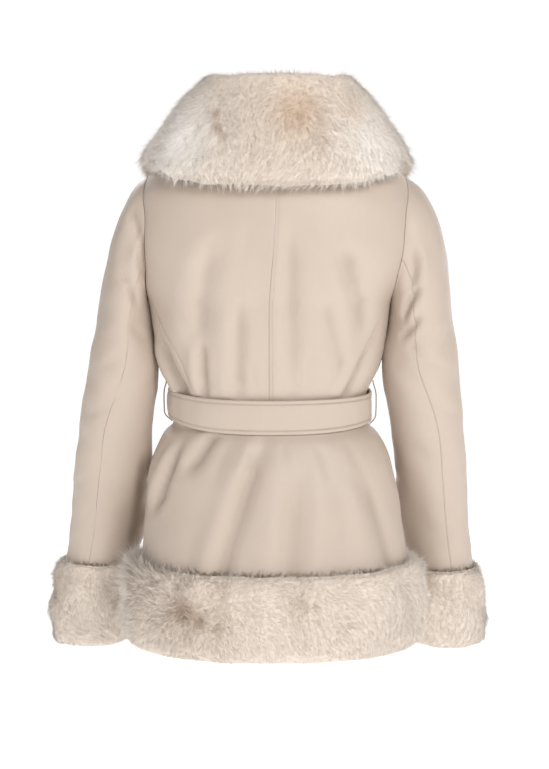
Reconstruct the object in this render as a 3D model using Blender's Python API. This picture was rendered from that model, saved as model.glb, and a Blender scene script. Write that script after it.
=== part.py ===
"""Short belted coat: smooth faux leather body with faux fur collar, cuffs and hem band.

Metres, +Z up. The origin lies between the shoulders at the height of the side neck.
The front faces -Y and the wearer's left side is +X. Angles run round the body in
degrees: 0 is the centre back, 90 the wearer's left side, 180 the centre front.
"""

import math
from collections import namedtuple

import bmesh
import bpy
import numpy as np

# Cloth and seams
CLOTH = 0.0025
SEAM_GAP = 0.0003
ARMHOLE_GAP = 0.0005
REST_GAP = 0.0008

# Heights of the main lines
SHOULDER_LEVEL = -0.043
UNDERARM_LEVEL = -0.214
WAIST_LEVEL = -0.357
SKIRT_FOOT = -0.578
HEM_FOOT = -0.673
NECK_DROP = 0.016

# Armhole, as half depths behind and before the shoulder point
ARMHOLE_BACK = 0.062
ARMHOLE_FRONT = 0.056
SIDE_PANEL_TURN = 30

# Angles of the seams
CENTRE_SEAM = 0.5
SKIRT_SEAM = 112.0
LAP_EDGE = 185.5
UNDERLAP_EDGE = 187.0
LAP_DEPTH = CLOTH + 0.0012

# Sleeve
SLEEVE_STEP = 15
SLEEVE_BACK_SEAM = 75
SLEEVE_FRONT_SEAM = 300
CAP_FOOT = -0.240
SLEEVE_FOOT = -0.622
CUFF_FOOT = {1: -0.701, -1: -0.705}
CUFF_LIP = {1: 0.040, -1: 0.030}
SLEEVE_TWIST = 30.0

# Fur reach beyond the cloth
HEM_PILE = 0.0265
CUFF_PILE = 0.0170

# Belt
BELT_TOP = -0.3335
BELT_FOOT = -0.3795
BELT_THICK = 0.0035
BELT_START = 176.0
BELT_END = -238.0
BELT_POINT = 10.0
LOOP_RADIUS = 0.0010
LOOP_STAND = 0.0045
BUCKLE_ANGLE = 174.0
BUCKLE_HALF_WIDTH = 0.028
BUCKLE_HALF_HEIGHT = 0.0325
BUCKLE_BAR = 0.0038

Section = namedtuple("Section", "level half_width back front shift set_back square")
BODY_ROWS = (
    Section(0.000, 0.078, 0.060, 0.066, -0.007, 0.004, 2.0),
    Section(-0.020, 0.122, 0.080, 0.078, -0.006, 0.004, 2.1),
    Section(-0.043, 0.172, 0.098, 0.089, -0.004, 0.004, 2.2),
    Section(-0.080, 0.187, 0.111, 0.102, -0.003, 0.004, 2.3),
    Section(-0.130, 0.189, 0.119, 0.113, -0.001, 0.004, 2.3),
    Section(-0.180, 0.177, 0.120, 0.124, 0.003, 0.002, 2.3),
    Section(-0.214, 0.1630, 0.118, 0.128, 0.005, 0.000, 2.3),
    Section(-0.252, 0.1580, 0.114, 0.126, 0.005, 0.000, 2.3),
    Section(-0.300, 0.1490, 0.107, 0.117, 0.005, 0.001, 2.3),
    Section(-0.320, 0.1385, 0.103, 0.111, 0.005, 0.002, 2.3),
    Section(-0.334, 0.1320, 0.099, 0.105, 0.005, 0.002, 2.3),
    Section(-0.357, 0.1305, 0.098, 0.103, 0.005, 0.002, 2.3),
    Section(-0.379, 0.1330, 0.100, 0.104, 0.004, 0.003, 2.3),
    Section(-0.392, 0.1460, 0.108, 0.109, 0.003, 0.004, 2.3),
    Section(-0.430, 0.1630, 0.121, 0.114, 0.002, 0.008, 2.25),
    Section(-0.500, 0.1740, 0.132, 0.118, 0.000, 0.014, 2.2),
    Section(-0.578, 0.1840, 0.137, 0.116, 0.000, 0.020, 2.2),
    Section(-0.680, 0.1890, 0.138, 0.115, 0.000, 0.022, 2.3),
)

# Seam between back and side panel, and between side panel and front, below the armhole
SideSeam = namedtuple("SideSeam", "level back_angle front_angle")
SIDE_SEAM_ROWS = (
    SideSeam(-0.2025, 79.0, 100.0),
    SideSeam(-0.238, 67.5, 106.0),
    SideSeam(-0.292, 56.0, 113.0),
    SideSeam(-0.340, 52.0, 117.0),
    SideSeam(-0.400, 51.0, 118.0),
)

# Front edge above the lap, from the side neck down to the crossing
NeckEdge = namedtuple("NeckEdge", "level angle")
NECK_EDGE_ROWS = (
    NeckEdge(0.000, 94.0),
    NeckEdge(-0.012, 106.0),
    NeckEdge(-0.026, 117.5),
    NeckEdge(-0.043, 127.5),
    NeckEdge(-0.090, 144.0),
    NeckEdge(-0.150, 162.0),
    NeckEdge(-0.200, 173.0),
    NeckEdge(-0.240, 181.0),
    NeckEdge(-0.262, 187.0),
)

# Main folds: a minus depth is a trough
Fold = namedtuple("Fold", "top_angle top_level foot_angle foot_level depth half_width")
FOLDS = (
    Fold(72.0, -0.262, 58.0, -0.352, -0.0075, 0.010),
    Fold(42.0, -0.262, 45.0, -0.352, -0.0035, 0.008),
    Fold(36.0, -0.150, 46.0, -0.290, -0.0040, 0.018),
    Fold(24.0, -0.200, 19.0, -0.350, -0.0040, 0.012),
    Fold(-14.0, -0.130, -20.0, -0.345, -0.0035, 0.012),
    Fold(-46.0, -0.120, -66.0, -0.285, -0.0045, 0.017),
    Fold(-60.0, -0.265, -52.0, -0.352, -0.0055, 0.010),
    Fold(-33.0, -0.240, -40.0, -0.350, -0.0030, 0.011),
    Fold(128.0, -0.180, 134.0, -0.350, -0.0040, 0.014),
    Fold(-124.0, -0.180, -131.0, -0.350, -0.0040, 0.014),
    Fold(152.0, -0.240, 150.0, -0.350, -0.0030, 0.012),
    Fold(-154.0, -0.250, -150.0, -0.350, -0.0030, 0.012),
    Fold(3.0, -0.378, 28.0, -0.640, -0.0080, 0.017),
    Fold(-22.0, -0.420, -14.0, -0.760, -0.0085, 0.020),
    Fold(34.0, -0.378, 54.0, -0.520, -0.0050, 0.014),
    Fold(56.0, -0.405, 62.0, -0.540, -0.0070, 0.010),
    Fold(-44.0, -0.400, -38.0, -0.760, -0.0040, 0.018),
    Fold(-62.0, -0.378, -72.0, -0.700, -0.0060, 0.013),
    Fold(86.0, -0.400, 92.0, -0.760, -0.0060, 0.015),
    Fold(-96.0, -0.390, -98.0, -0.760, -0.0055, 0.014),
    Fold(122.0, -0.378, 126.0, -0.760, -0.0070, 0.016),
    Fold(-122.0, -0.385, -128.0, -0.760, -0.0065, 0.016),
    Fold(148.0, -0.395, 150.0, -0.760, -0.0050, 0.015),
    Fold(-150.0, -0.378, -154.0, -0.760, -0.0060, 0.014),
)
FOLD_RADIUS = 0.130

# Arm sections: way out from the middle, way back, half width and half depth
Arm = namedtuple("Arm", "level out back half_width half_depth")
LEFT_ARM_ROWS = (
    Arm(-0.240, 0.2030, 0.002, 0.0355, 0.063),
    Arm(-0.300, 0.2045, 0.001, 0.0475, 0.058),
    Arm(-0.354, 0.2110, -0.006, 0.0500, 0.054),
    Arm(-0.420, 0.2200, -0.024, 0.0510, 0.052),
    Arm(-0.480, 0.2275, -0.046, 0.0505, 0.050),
    Arm(-0.545, 0.2365, -0.067, 0.0485, 0.048),
    Arm(-0.620, 0.2515, -0.086, 0.0460, 0.046),
    Arm(-0.720, 0.2620, -0.096, 0.0460, 0.046),
)
RIGHT_ARM_ROWS = (
    Arm(-0.240, 0.2000, 0.002, 0.0430, 0.061),
    Arm(-0.300, 0.1995, 0.001, 0.0515, 0.057),
    Arm(-0.354, 0.2065, -0.006, 0.0510, 0.054),
    Arm(-0.420, 0.2140, -0.024, 0.0500, 0.052),
    Arm(-0.480, 0.2205, -0.046, 0.0480, 0.049),
    Arm(-0.545, 0.2285, -0.072, 0.0455, 0.046),
    Arm(-0.620, 0.2400, -0.092, 0.0440, 0.045),
    Arm(-0.720, 0.2490, -0.103, 0.0440, 0.045),
)

# How the sleeve cap leaves the armhole, from the underarm to the shoulder point
CAP_LEAVE_UNDER = np.array((0.20, 0.0, -1.0))
CAP_LEAVE_TOP = np.array((0.92, 0.0, -0.40))
CAP_PULL = {1: 0.70, -1: 0.92}

# Sleeve creases: turn and level of both ends
SLEEVE_FOLDS = (
    Fold(60.0, -0.255, 130.0, -0.305, -0.0035, 0.012),
    Fold(70.0, -0.330, 150.0, -0.372, -0.0030, 0.013),
    Fold(200.0, -0.340, 280.0, -0.392, -0.0035, 0.013),
    Fold(100.0, -0.440, 170.0, -0.475, -0.0025, 0.014),
)
SLEEVE_RADIUS = 0.050

# Section of the fur bands: reach as a share of the pile, and height as a share of the band
Pile = namedtuple("Pile", "reach height")
PILE_ROWS = (
    Pile(0.26, 1.00),
    Pile(0.68, 0.97),
    Pile(0.94, 0.82),
    Pile(1.00, 0.55),
    Pile(0.95, 0.25),
    Pile(0.66, 0.05),
    Pile(0.22, 0.00),
)

# Collar from the centre back (0) to the tip of a lapel (1)
Collar = namedtuple(
    "Collar", "turn neck_angle neck_level edge_angle edge_level rise lean height")
COLLAR_ROWS = (
    Collar(0.00, 0.0, -0.016, 0.0, -0.050, 0.113, 0.16, 0.037),
    Collar(0.22, 46.0, -0.010, 45.0, -0.049, 0.106, 0.14, 0.034),
    Collar(0.42, 89.0, -0.001, 88.0, -0.0350, 0.095, 0.06, 0.031),
    Collar(0.54, 116.0, -0.026, 113.0, -0.064, 0.086, 0.30, 0.033),
    Collar(0.70, 141.0, -0.083, 124.0, -0.130, 0.062, 0.65, 0.033),
    Collar(0.86, 163.0, -0.156, 142.0, -0.198, 0.042, 1.00, 0.030),
    Collar(1.00, 176.5, -0.226, 168.0, -0.250, 0.024, 1.00, 0.020),
)
COLLAR_STATIONS = 22
COLLAR_UNDER_STEPS = 7
COLLAR_SEAM_GAP = 0.0007
COLLAR_EDGE_GAP = 0.0044


class Table:
    """Rows of named columns, read along a smooth curve that never overshoots them."""

    def __init__(self, rows, key):
        ordered = sorted(rows, key=lambda row: getattr(row, key))
        self.knots = np.array([getattr(row, key) for row in ordered], dtype=float)
        self.columns = {}
        for name in ordered[0]._fields:
            values = np.array([getattr(row, name) for row in ordered], dtype=float)
            self.columns[name] = (values, self.slopes(values))

    def slopes(self, values):
        """Slope of the curve at each row."""
        run = np.diff(self.knots)
        rise = np.diff(values) / run
        slope = np.zeros(len(values))
        slope[0] = rise[0]
        slope[-1] = rise[-1]
        for i in range(1, len(values) - 1):
            if rise[i - 1] * rise[i] > 0:
                before = 2 * run[i] + run[i - 1]
                after = run[i] + 2 * run[i - 1]
                slope[i] = (before + after) / (before / rise[i - 1] + after / rise[i])
        return slope

    def at(self, column, place):
        """Value of a column at one place or at an array of places."""
        values, slope = self.columns[column]
        place = np.clip(place, self.knots[0], self.knots[-1])
        i = np.clip(np.searchsorted(self.knots, place) - 1, 0, len(self.knots) - 2)
        run = self.knots[i + 1] - self.knots[i]
        t = (place - self.knots[i]) / run
        start = (1 + 2 * t) * (1 - t) ** 2 * values[i] + t * (1 - t) ** 2 * run * slope[i]
        end = t * t * (3 - 2 * t) * values[i + 1] + t * t * (t - 1) * run * slope[i + 1]
        return start + end


BODY = Table(BODY_ROWS, "level")
SIDE_SEAMS = Table(SIDE_SEAM_ROWS, "level")
NECK_EDGE = Table(NECK_EDGE_ROWS, "level")
COLLAR = Table(COLLAR_ROWS, "turn")
ARMS = {1: Table(LEFT_ARM_ROWS, "level"), -1: Table(RIGHT_ARM_ROWS, "level")}


def ease(t):
    """Soft step from 0 to 1."""
    t = np.clip(t, 0.0, 1.0)
    return t * t * (3 - 2 * t)


def unit(vectors):
    """Vectors brought to length one."""
    return vectors / np.linalg.norm(vectors, axis=-1, keepdims=True)


def mix(first, second, share):
    """Point between two others."""
    return first + (second - first) * share


def fold_depth(folds, radius, angle, level):
    """Sum of the folds at an angle and a level."""
    depth = np.zeros(np.broadcast(angle, level).shape)
    for fold in folds:
        along = (fold.top_level - level) / (fold.top_level - fold.foot_level)
        centre = fold.top_angle + (fold.foot_angle - fold.top_angle) * along
        aside = (angle - centre + 180.0) % 360.0 - 180.0
        across = np.radians(aside) * radius / fold.half_width
        fade = ease(along / 0.35) * ease((1 - along) / 0.30)
        depth = depth + fold.depth * fade * np.exp(-across ** 2)
    return depth


def body_ring(angle, level):
    """Point of the plain body form."""
    turn = np.radians(angle)
    width = BODY.at("half_width", level)
    depth = np.where(np.cos(turn) >= 0, BODY.at("back", level), BODY.at("front", level))
    power = BODY.at("square", level)
    reach = (np.abs(np.sin(turn)) / width) ** power + (np.abs(np.cos(turn)) / depth) ** power
    radius = reach ** (-1 / power)
    x = BODY.at("shift", level) + radius * np.sin(turn)
    y = BODY.at("set_back", level) + radius * np.cos(turn)
    return np.stack(np.broadcast_arrays(x, y, level), axis=-1)


def normal_of(surface, angle, level):
    """Outward direction of a surface given by angle and level."""
    round_about = surface(angle + 0.6, level) - surface(angle - 0.6, level)
    upward = surface(angle, level + 0.0012) - surface(angle, level - 0.0012)
    return unit(np.cross(upward, round_about))


def body(angle, level):
    """Point of the outer face of the cloth, with its folds."""
    angle, level = np.broadcast_arrays(np.asarray(angle, float), np.asarray(level, float))
    depth = fold_depth(FOLDS, FOLD_RADIUS, angle, level)
    return body_ring(angle, level) + normal_of(body_ring, angle, level) * depth[..., None]


def body_out(angle, level, out):
    """Point at a distance out from the cloth."""
    angle, level = np.broadcast_arrays(np.asarray(angle, float), np.asarray(level, float))
    out = np.broadcast_to(out, angle.shape)
    return body(angle, level) + normal_of(body, angle, level) * out[..., None]


def underlap(angle, level):
    """Point of the outer face, sunk below the lapping edge."""
    sunk = -LAP_DEPTH * ease((angle - 164.0) / 9.0)
    return body_out(angle, level, sunk)


def mesh_object(name, points, faces, group, material):
    """Closed body of given points and faces, turned outward."""
    mesh = bpy.data.meshes.new(name)
    shape = bmesh.new()
    corners = [shape.verts.new(point) for point in points]
    for face in faces:
        shape.faces.new([corners[i] for i in face])
    bmesh.ops.recalc_face_normals(shape, faces=shape.faces)
    shape.to_mesh(mesh)
    shape.free()
    piece = bpy.data.objects.new(name, mesh)
    mesh.materials.append(material)
    group.objects.link(piece)
    return piece


def ring_faces(first, second, count):
    """Side faces between two neighbouring rings."""
    faces = []
    for i in range(count):
        j = (i + 1) % count
        faces.append((first + i, first + j, second + j, second + i))
    return faces


def strip_cap(first, count):
    """End of a wall: quads from its outer edge to its inner edge."""
    faces = []
    for i in range(count // 2 - 1):
        faces.append((first + i, first + i + 1, first + count - 2 - i, first + count - 1 - i))
    return faces


def loft(name, rings, group, material, cap):
    """Closed body through rings of points; cap is strip, face or none for a closed round."""
    rings = np.asarray(rings)
    rows, count = rings.shape[:2]
    faces = []
    for row in range(rows - 1):
        faces += ring_faces(row * count, (row + 1) * count, count)
    last = (rows - 1) * count
    if cap == "strip":
        faces += strip_cap(0, count) + strip_cap(last, count)
    elif cap == "face":
        faces += [tuple(range(count)), tuple(range(last, last + count))]
    else:
        faces += ring_faces(last, 0, count)
    return mesh_object(name, rings.reshape(-1, 3), faces, group, material)


def wall(name, outer, inner, group, material):
    """Cloth between an outer and an inner grid of points."""
    rings = np.concatenate((outer, inner[:, ::-1]), axis=1)
    return loft(name, rings, group, material, "strip")


def cloth(name, surface, angle, level, group, material):
    """Panel of cloth on a surface over grids of angles and levels."""
    outer = surface(angle, level)
    inner = outer - CLOTH * normal_of(surface, angle, level)
    return wall(name, outer, inner, group, material)


def half_gap(level):
    """Angle of half a seam's gap at a level."""
    return math.degrees(SEAM_GAP / 2) / BODY.at("half_width", level)


def armhole_level(turn):
    """Height of the armhole: turn 0 is the underarm, 90 the back, 180 the shoulder point."""
    share = (1 - np.cos(np.radians(turn))) / 2
    return UNDERARM_LEVEL + (SHOULDER_LEVEL - UNDERARM_LEVEL) * share


def armhole_angle(turn):
    """Angle round the body of the armhole's edge."""
    level = armhole_level(turn)
    swing = np.sin(np.radians(turn))
    y = np.where(swing >= 0, ARMHOLE_BACK, ARMHOLE_FRONT) * swing - BODY.at("set_back", level)
    depth = np.where(y >= 0, BODY.at("back", level), BODY.at("front", level))
    power = BODY.at("square", level)
    x = BODY.at("half_width", level) * (1 - (np.abs(y) / depth) ** power) ** (1 / power)
    return np.degrees(np.arctan2(x, y))


def bodice_levels():
    """Levels of the rows from the waist up to the foot of the side panels' armhole."""
    foot = WAIST_LEVEL + SEAM_GAP / 2
    above = np.linspace(-0.320, float(armhole_level(SIDE_PANEL_TURN)), 6)
    return np.concatenate(((foot, -0.334), above))


def shoulder_rows(rows):
    """Shares of the way from the shoulder point up to the neck."""
    return np.arange(1, rows + 1) / rows


def back_panel(side, group, material):
    """One half of the back, from the centre back seam to side seam, armhole and shoulder."""
    columns = 10
    share = np.linspace(0, 1, columns + 1)
    angles = []
    levels = []
    centre = side * CENTRE_SEAM
    for level in bodice_levels():
        edge = SIDE_SEAMS.at("back_angle", level)
        if level > SIDE_SEAM_ROWS[0].level - 0.0005:
            edge = armhole_angle(SIDE_PANEL_TURN)
        gap = half_gap(level)
        angles.append(mix(centre + gap, edge - gap, share))
        levels.append(np.full(columns + 1, level))
    for turn in range(SIDE_PANEL_TURN + SLEEVE_STEP, 181, SLEEVE_STEP):
        level = float(armhole_level(turn))
        gap = half_gap(level)
        edge = armhole_angle(turn) - (gap if turn == 180 else 0.0)
        angles.append(mix(centre + gap, edge, share))
        levels.append(np.full(columns + 1, level))
    for rise in shoulder_rows(3):
        level = SHOULDER_LEVEL * (1 - rise)
        gap = half_gap(level)
        edge = mix(float(armhole_angle(180)), 90.0, rise)
        angle = mix(centre + gap, edge - gap, share)
        top = -NECK_DROP * np.cos(np.radians(angle)) ** 2
        angles.append(angle)
        levels.append(SHOULDER_LEVEL + (top - SHOULDER_LEVEL) * rise)
    name = "back_left" if side > 0 else "back_right"
    return cloth(name, body, side * np.array(angles), np.array(levels), group, material)


def side_panel(side, group, material):
    """Side panel below the armhole, between the side-back seam and the front."""
    per_step = 3
    turns = np.arange(SIDE_PANEL_TURN, -SIDE_PANEL_TURN - 1, -SLEEVE_STEP)
    corner_angle = armhole_angle(turns)
    corner_level = armhole_level(turns)
    fine = np.arange(per_step * (len(turns) - 1) + 1) / per_step
    top_angle = np.interp(fine, np.arange(len(turns)), corner_angle)
    top_level = np.interp(fine, np.arange(len(turns)), corner_level)
    share = np.linspace(0, 1, len(fine))
    angles = []
    levels = []
    for level in bodice_levels()[:-1]:
        gap = half_gap(level)
        start = SIDE_SEAMS.at("back_angle", level) + gap
        end = SIDE_SEAMS.at("front_angle", level) - gap
        angles.append(mix(start, end, share))
        levels.append(np.full(len(fine), level))
    gap = half_gap(float(corner_level[0]))
    squeeze = 1 - 2 * gap / (top_angle[-1] - top_angle[0])
    middle = (top_angle[0] + top_angle[-1]) / 2
    angles.append(middle + (top_angle - middle) * squeeze)
    levels.append(top_level)
    name = "side_left" if side > 0 else "side_right"
    return cloth(name, body, side * np.array(angles), np.array(levels), group, material)


def front_edge(side, level):
    """Angle of a front's free edge."""
    edge = LAP_EDGE if side < 0 else UNDERLAP_EDGE
    return min(float(NECK_EDGE.at("angle", level)), edge)


def front_panel(side, group, material):
    """One front of the bodice, from side panel, armhole and shoulder to its free edge."""
    columns = 10
    share = np.linspace(0, 1, columns + 1)
    angles = []
    levels = []
    for level in bodice_levels():
        start = SIDE_SEAMS.at("front_angle", level)
        if level > SIDE_SEAM_ROWS[0].level - 0.0005:
            start = armhole_angle(-SIDE_PANEL_TURN)
        angles.append(mix(start + half_gap(level), front_edge(side, level), share))
        levels.append(np.full(columns + 1, level))
    for turn in range(SIDE_PANEL_TURN + SLEEVE_STEP, 181, SLEEVE_STEP):
        level = float(armhole_level(-turn))
        gap = half_gap(level) if turn == 180 else 0.0
        angles.append(mix(armhole_angle(-turn) + gap, front_edge(side, level), share))
        levels.append(np.full(columns + 1, level))
    for rise in shoulder_rows(3):
        level = SHOULDER_LEVEL * (1 - rise)
        start = mix(float(armhole_angle(180)), 90.0, rise) + half_gap(level)
        angles.append(mix(start, front_edge(side, level), share))
        levels.append(np.full(columns + 1, level))
    name = "front_left" if side > 0 else "front_right"
    surface = underlap if side > 0 else body
    return cloth(name, surface, side * np.array(angles), np.array(levels), group, material)


def skirt_levels():
    """Levels of the skirt's rows."""
    top = (WAIST_LEVEL - SEAM_GAP / 2, -0.379, -0.392, -0.411)
    return np.concatenate((top, np.linspace(-0.434, SKIRT_FOOT, 7)))


def skirt_panel(name, surface, start, end, columns, group, material):
    """Part of the skirt between two angles."""
    share = np.linspace(0, 1, columns + 1)
    levels = skirt_levels()
    angle = np.tile(mix(start, end, share), (len(levels), 1))
    level = np.repeat(levels[:, None], columns + 1, axis=1)
    return cloth(name, surface, angle, level, group, material)


def fur_band(point, foot, top, seam, pile):
    """Ring of a fur band: inner wall, lip over the cloth and rounded pile."""
    section = [point(-CLOTH, seam), point(0.0008, seam), point(0.0008, top - 0.006)]
    for row in PILE_ROWS:
        section.append(point(pile * row.reach, foot + (top - foot) * row.height))
    section.append(point(-CLOTH, foot + 0.005))
    return section


def hem_band(name, start, end, columns, group, material):
    """Fur band along the hem between two angles."""
    rings = []
    for angle in np.linspace(start, end, columns + 1):
        def point(out, level, angle=angle):
            return body_out(angle, level, out)
        rings.append(fur_band(point, HEM_FOOT, SKIRT_FOOT + 0.020, SKIRT_FOOT - SEAM_GAP, HEM_PILE))
    return loft(name, rings, group, material, "face")


def arm_ring(side, turn, level, out):
    """Point of a sleeve's section: turn 0 faces the body, 90 the back."""
    arm = ARMS[side]
    turn = np.radians(turn)
    x = arm.at("out", level) - (arm.at("half_width", level) + out) * np.cos(turn)
    y = arm.at("back", level) + (arm.at("half_depth", level) + out) * np.sin(turn)
    return np.stack(np.broadcast_arrays(side * x, y, level), axis=-1)


def cap_rows(side, turns, rows):
    """Sleeve cap from the armhole down to the first full section."""
    start = body(side * armhole_angle(turns), armhole_level(turns))
    end = arm_ring(side, turns, np.full(len(turns), CAP_FOOT), 0.0)
    share = ((1 - np.cos(np.radians(turns))) / 2)[:, None]
    leave = mix(CAP_LEAVE_UNDER, CAP_LEAVE_TOP, share)
    leave[:, 1] = 0.16 * np.sin(np.radians(turns))
    leave = unit(leave * np.array((side, 1, 1)))
    start = start + leave * ARMHOLE_GAP
    length = np.linalg.norm(end - start, axis=1, keepdims=True) * CAP_PULL[side]
    arrive = np.array((side * 0.10, 0.0, -1.0))
    grid = []
    for t in np.arange(rows) / rows:
        grid.append((1 + 2 * t) * (1 - t) ** 2 * start + t * (1 - t) ** 2 * length * leave
                    + t * t * (3 - 2 * t) * end + t * t * (t - 1) * length * arrive)
    return grid


def sleeve_grid(side):
    """Outer points of a whole sleeve, row by row, and the outward directions there."""
    turns = np.arange(0, 360, SLEEVE_STEP, dtype=float)
    rows = cap_rows(side, turns, 5)
    for level in np.linspace(CAP_FOOT, SLEEVE_FOOT, 15):
        at = np.full(len(turns), level)
        twisted = turns + SLEEVE_TWIST * ease((CAP_FOOT - at) / 0.16)
        depth = fold_depth(SLEEVE_FOLDS, SLEEVE_RADIUS, twisted, at)
        rows.append(arm_ring(side, twisted, at, depth))
    grid = np.array(rows)
    round_about = np.roll(grid, -1, axis=1) - np.roll(grid, 1, axis=1)
    along = np.gradient(grid, axis=0)
    normal = side * unit(np.cross(round_about, along))
    return turns, grid, normal


def sleeve_part(side, name, first, last, group, material):
    """Strip of a sleeve between two seams."""
    turns, grid, normal = sleeve_grid(side)
    picked = (np.arange(first, last + 1, SLEEVE_STEP) % 360) // SLEEVE_STEP
    outer = grid[:, picked].copy()
    inner = outer - CLOTH * normal[:, picked]
    inner[-1, :, 2] = SLEEVE_FOOT
    for points in (outer, inner):
        before = unit(points[:, 1] - points[:, 0])
        after = unit(points[:, -2] - points[:, -1])
        points[:, 0] += before * SEAM_GAP / 2
        points[:, -1] += after * SEAM_GAP / 2
    return wall(name, outer, inner, group, material)


def cuff(side, group, material):
    """Fur cuff round the foot of a sleeve."""
    rings = []
    for turn in np.arange(0, 360, SLEEVE_STEP):
        def point(out, level, turn=turn):
            return arm_ring(side, float(turn), np.float64(level), out)
        rings.append(fur_band(point, CUFF_FOOT[side], SLEEVE_FOOT + CUFF_LIP[side],
                              SLEEVE_FOOT - SEAM_GAP, CUFF_PILE))
    name = "cuff_left" if side > 0 else "cuff_right"
    return loft(name, rings, group, material, "none")


def collar_ring(turn):
    """Section of the collar, from the neck under the fall to its edge, ridge and inside."""
    side = 1 if turn >= 0 else -1
    row = {name: float(COLLAR.at(name, abs(turn))) for name in Collar._fields}
    share = np.linspace(0, 1, COLLAR_UNDER_STEPS + 1)
    angle = side * mix(row["neck_angle"], row["edge_angle"], share)
    level = mix(row["neck_level"], row["edge_level"], share)
    under = body_out(angle, level, mix(COLLAR_SEAM_GAP, COLLAR_EDGE_GAP, ease(share / 0.4)))
    neck_out = normal_of(body, angle[0], level[0])
    edge_out = normal_of(body, angle[-1], level[-1])
    along = unit(under[-1] - under[-2])
    height = row["height"]
    low = under[-1] + along * 0.008 + edge_out * 0.006
    mid = under[-1] + along * 0.012 + edge_out * height * 0.45
    high = under[-1] + along * 0.002 + edge_out * height
    rise = unit(mix(np.array((0.0, 0.0, 1.0)), neck_out, row["lean"]))
    ridge = under[0] + rise * row["rise"]
    across = high - ridge
    across = unit(across - rise * np.dot(across, rise))
    round_off = min(0.013, row["rise"] * 0.35)
    outer_ridge = ridge + across * round_off - rise * round_off * 0.5
    inner_ridge = ridge - across * round_off * 0.8 - rise * round_off * 0.6
    fall = [mix(outer_ridge, high, t) + edge_out * 0.003 for t in (0.3, 0.6)]
    inside = [mix(inner_ridge, under[0], t) for t in (0.35, 0.7)]
    return [*under, low, mid, high, *fall[::-1], outer_ridge, ridge, inner_ridge, *inside]


def collar(group, material):
    """Fur collar from the tip of the right lapel round the back to the left tip."""
    rings = [collar_ring(turn) for turn in np.linspace(-1, 1, 2 * COLLAR_STATIONS + 1)]
    return loft("collar", rings, group, material, "face")


def belt_radius(angle):
    """Reach of the cloth under the belt at an angle, from the waist's middle."""
    levels = np.linspace(BELT_FOOT - 0.001, BELT_TOP + 0.001, 7)
    points = body(np.full(len(levels), angle), levels)
    return np.max(np.hypot(*(points[:, :2] - waist_middle()).T))


def waist_middle():
    """Middle of the waist's section."""
    return np.array((BODY.at("shift", WAIST_LEVEL), BODY.at("set_back", WAIST_LEVEL)))


def belt_point(angle, out, level):
    """Point at a distance out from the cloth under the belt."""
    radius = belt_radius(angle) + REST_GAP + out
    x, y = waist_middle() + radius * np.array((math.sin(math.radians(angle)),
                                               math.cos(math.radians(angle))))
    return np.array((x, y, level))


def belt(group, material):
    """Belt strap, once round the waist, its end lying over its start."""
    rings = []
    for angle in np.arange(BELT_START, BELT_END - 0.1, -4.5):
        lift = (BELT_THICK + 0.0010) * float(ease((-angle - 164.0) / 16.0))
        to_end = (angle - BELT_END) / BELT_POINT
        half = (BELT_TOP - BELT_FOOT) / 2 * (0.30 + 0.70 * min(1.0, to_end))
        middle = (BELT_TOP + BELT_FOOT) / 2
        rings.append([belt_point(angle, lift, middle - half),
                      belt_point(angle, lift, middle + half),
                      belt_point(angle, lift + BELT_THICK, middle + half),
                      belt_point(angle, lift + BELT_THICK, middle - half)])
    return loft("belt", rings, group, material, "face")


def tube(name, points, radius, closed, group, material):
    """Round cord or bar along points."""
    path = bpy.data.curves.new(name, "CURVE")
    path.dimensions = "3D"
    path.bevel_depth = radius
    path.bevel_resolution = 1
    path.use_fill_caps = True
    line = path.splines.new("POLY")
    line.points.add(len(points) - 1)
    for target, point in zip(line.points, points):
        target.co = (*point, 1.0)
    line.use_cyclic_u = closed
    piece = bpy.data.objects.new(name, path)
    path.materials.append(material)
    group.objects.link(piece)
    return piece


def belt_loop(side, group, material):
    """Thread loop that holds the belt at the side."""
    angle = side * 90.0
    touch = LOOP_RADIUS + SEAM_GAP
    out = BELT_THICK + LOOP_RADIUS + LOOP_STAND
    points = [body_out(angle, -0.3130, touch),
              belt_point(angle, out - 0.0030, BELT_TOP + 0.009),
              belt_point(angle, out, BELT_TOP - 0.004),
              belt_point(angle, out, BELT_FOOT + 0.012),
              belt_point(angle, out - 0.0015, BELT_FOOT - 0.003),
              body_out(angle, -0.4010, touch)]
    name = "belt_loop_left" if side > 0 else "belt_loop_right"
    return tube(name, points, LOOP_RADIUS, False, group, material)


def buckle(group, material):
    """Plain covered frame through which the belt runs."""
    middle = (BELT_TOP + BELT_FOOT) / 2
    out = 2 * BELT_THICK + 0.0010 + SEAM_GAP + BUCKLE_BAR
    reach = belt_radius(BUCKLE_ANGLE)
    points = []
    for turn in np.arange(0, 360, 15.0):
        c = math.cos(math.radians(turn))
        s = math.sin(math.radians(turn))
        x = BUCKLE_HALF_WIDTH * math.copysign(abs(c) ** 0.28, c)
        z = BUCKLE_HALF_HEIGHT * math.copysign(abs(s) ** 0.28, s)
        angle = BUCKLE_ANGLE + math.degrees(x / reach)
        points.append(belt_point(angle, out, middle + z))
    return tube("buckle", points, BUCKLE_BAR, True, group, material)


def make_material(name, colour, roughness):
    """Plain material for one node."""
    material = bpy.data.materials.new(name)
    material.use_nodes = True
    shader = material.node_tree.nodes["Principled BSDF"]
    shader.inputs["Base Color"].default_value = (*colour, 1.0)
    shader.inputs["Roughness"].default_value = roughness
    shader.inputs["Metallic"].default_value = 0.0
    return material


def leather(name):
    """Material of a smooth faux leather piece."""
    return make_material(name, (0.72, 0.60, 0.50), 0.50)


def fur(name):
    """Material of a faux fur piece."""
    return make_material(name, (0.78, 0.68, 0.58), 0.90)


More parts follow.
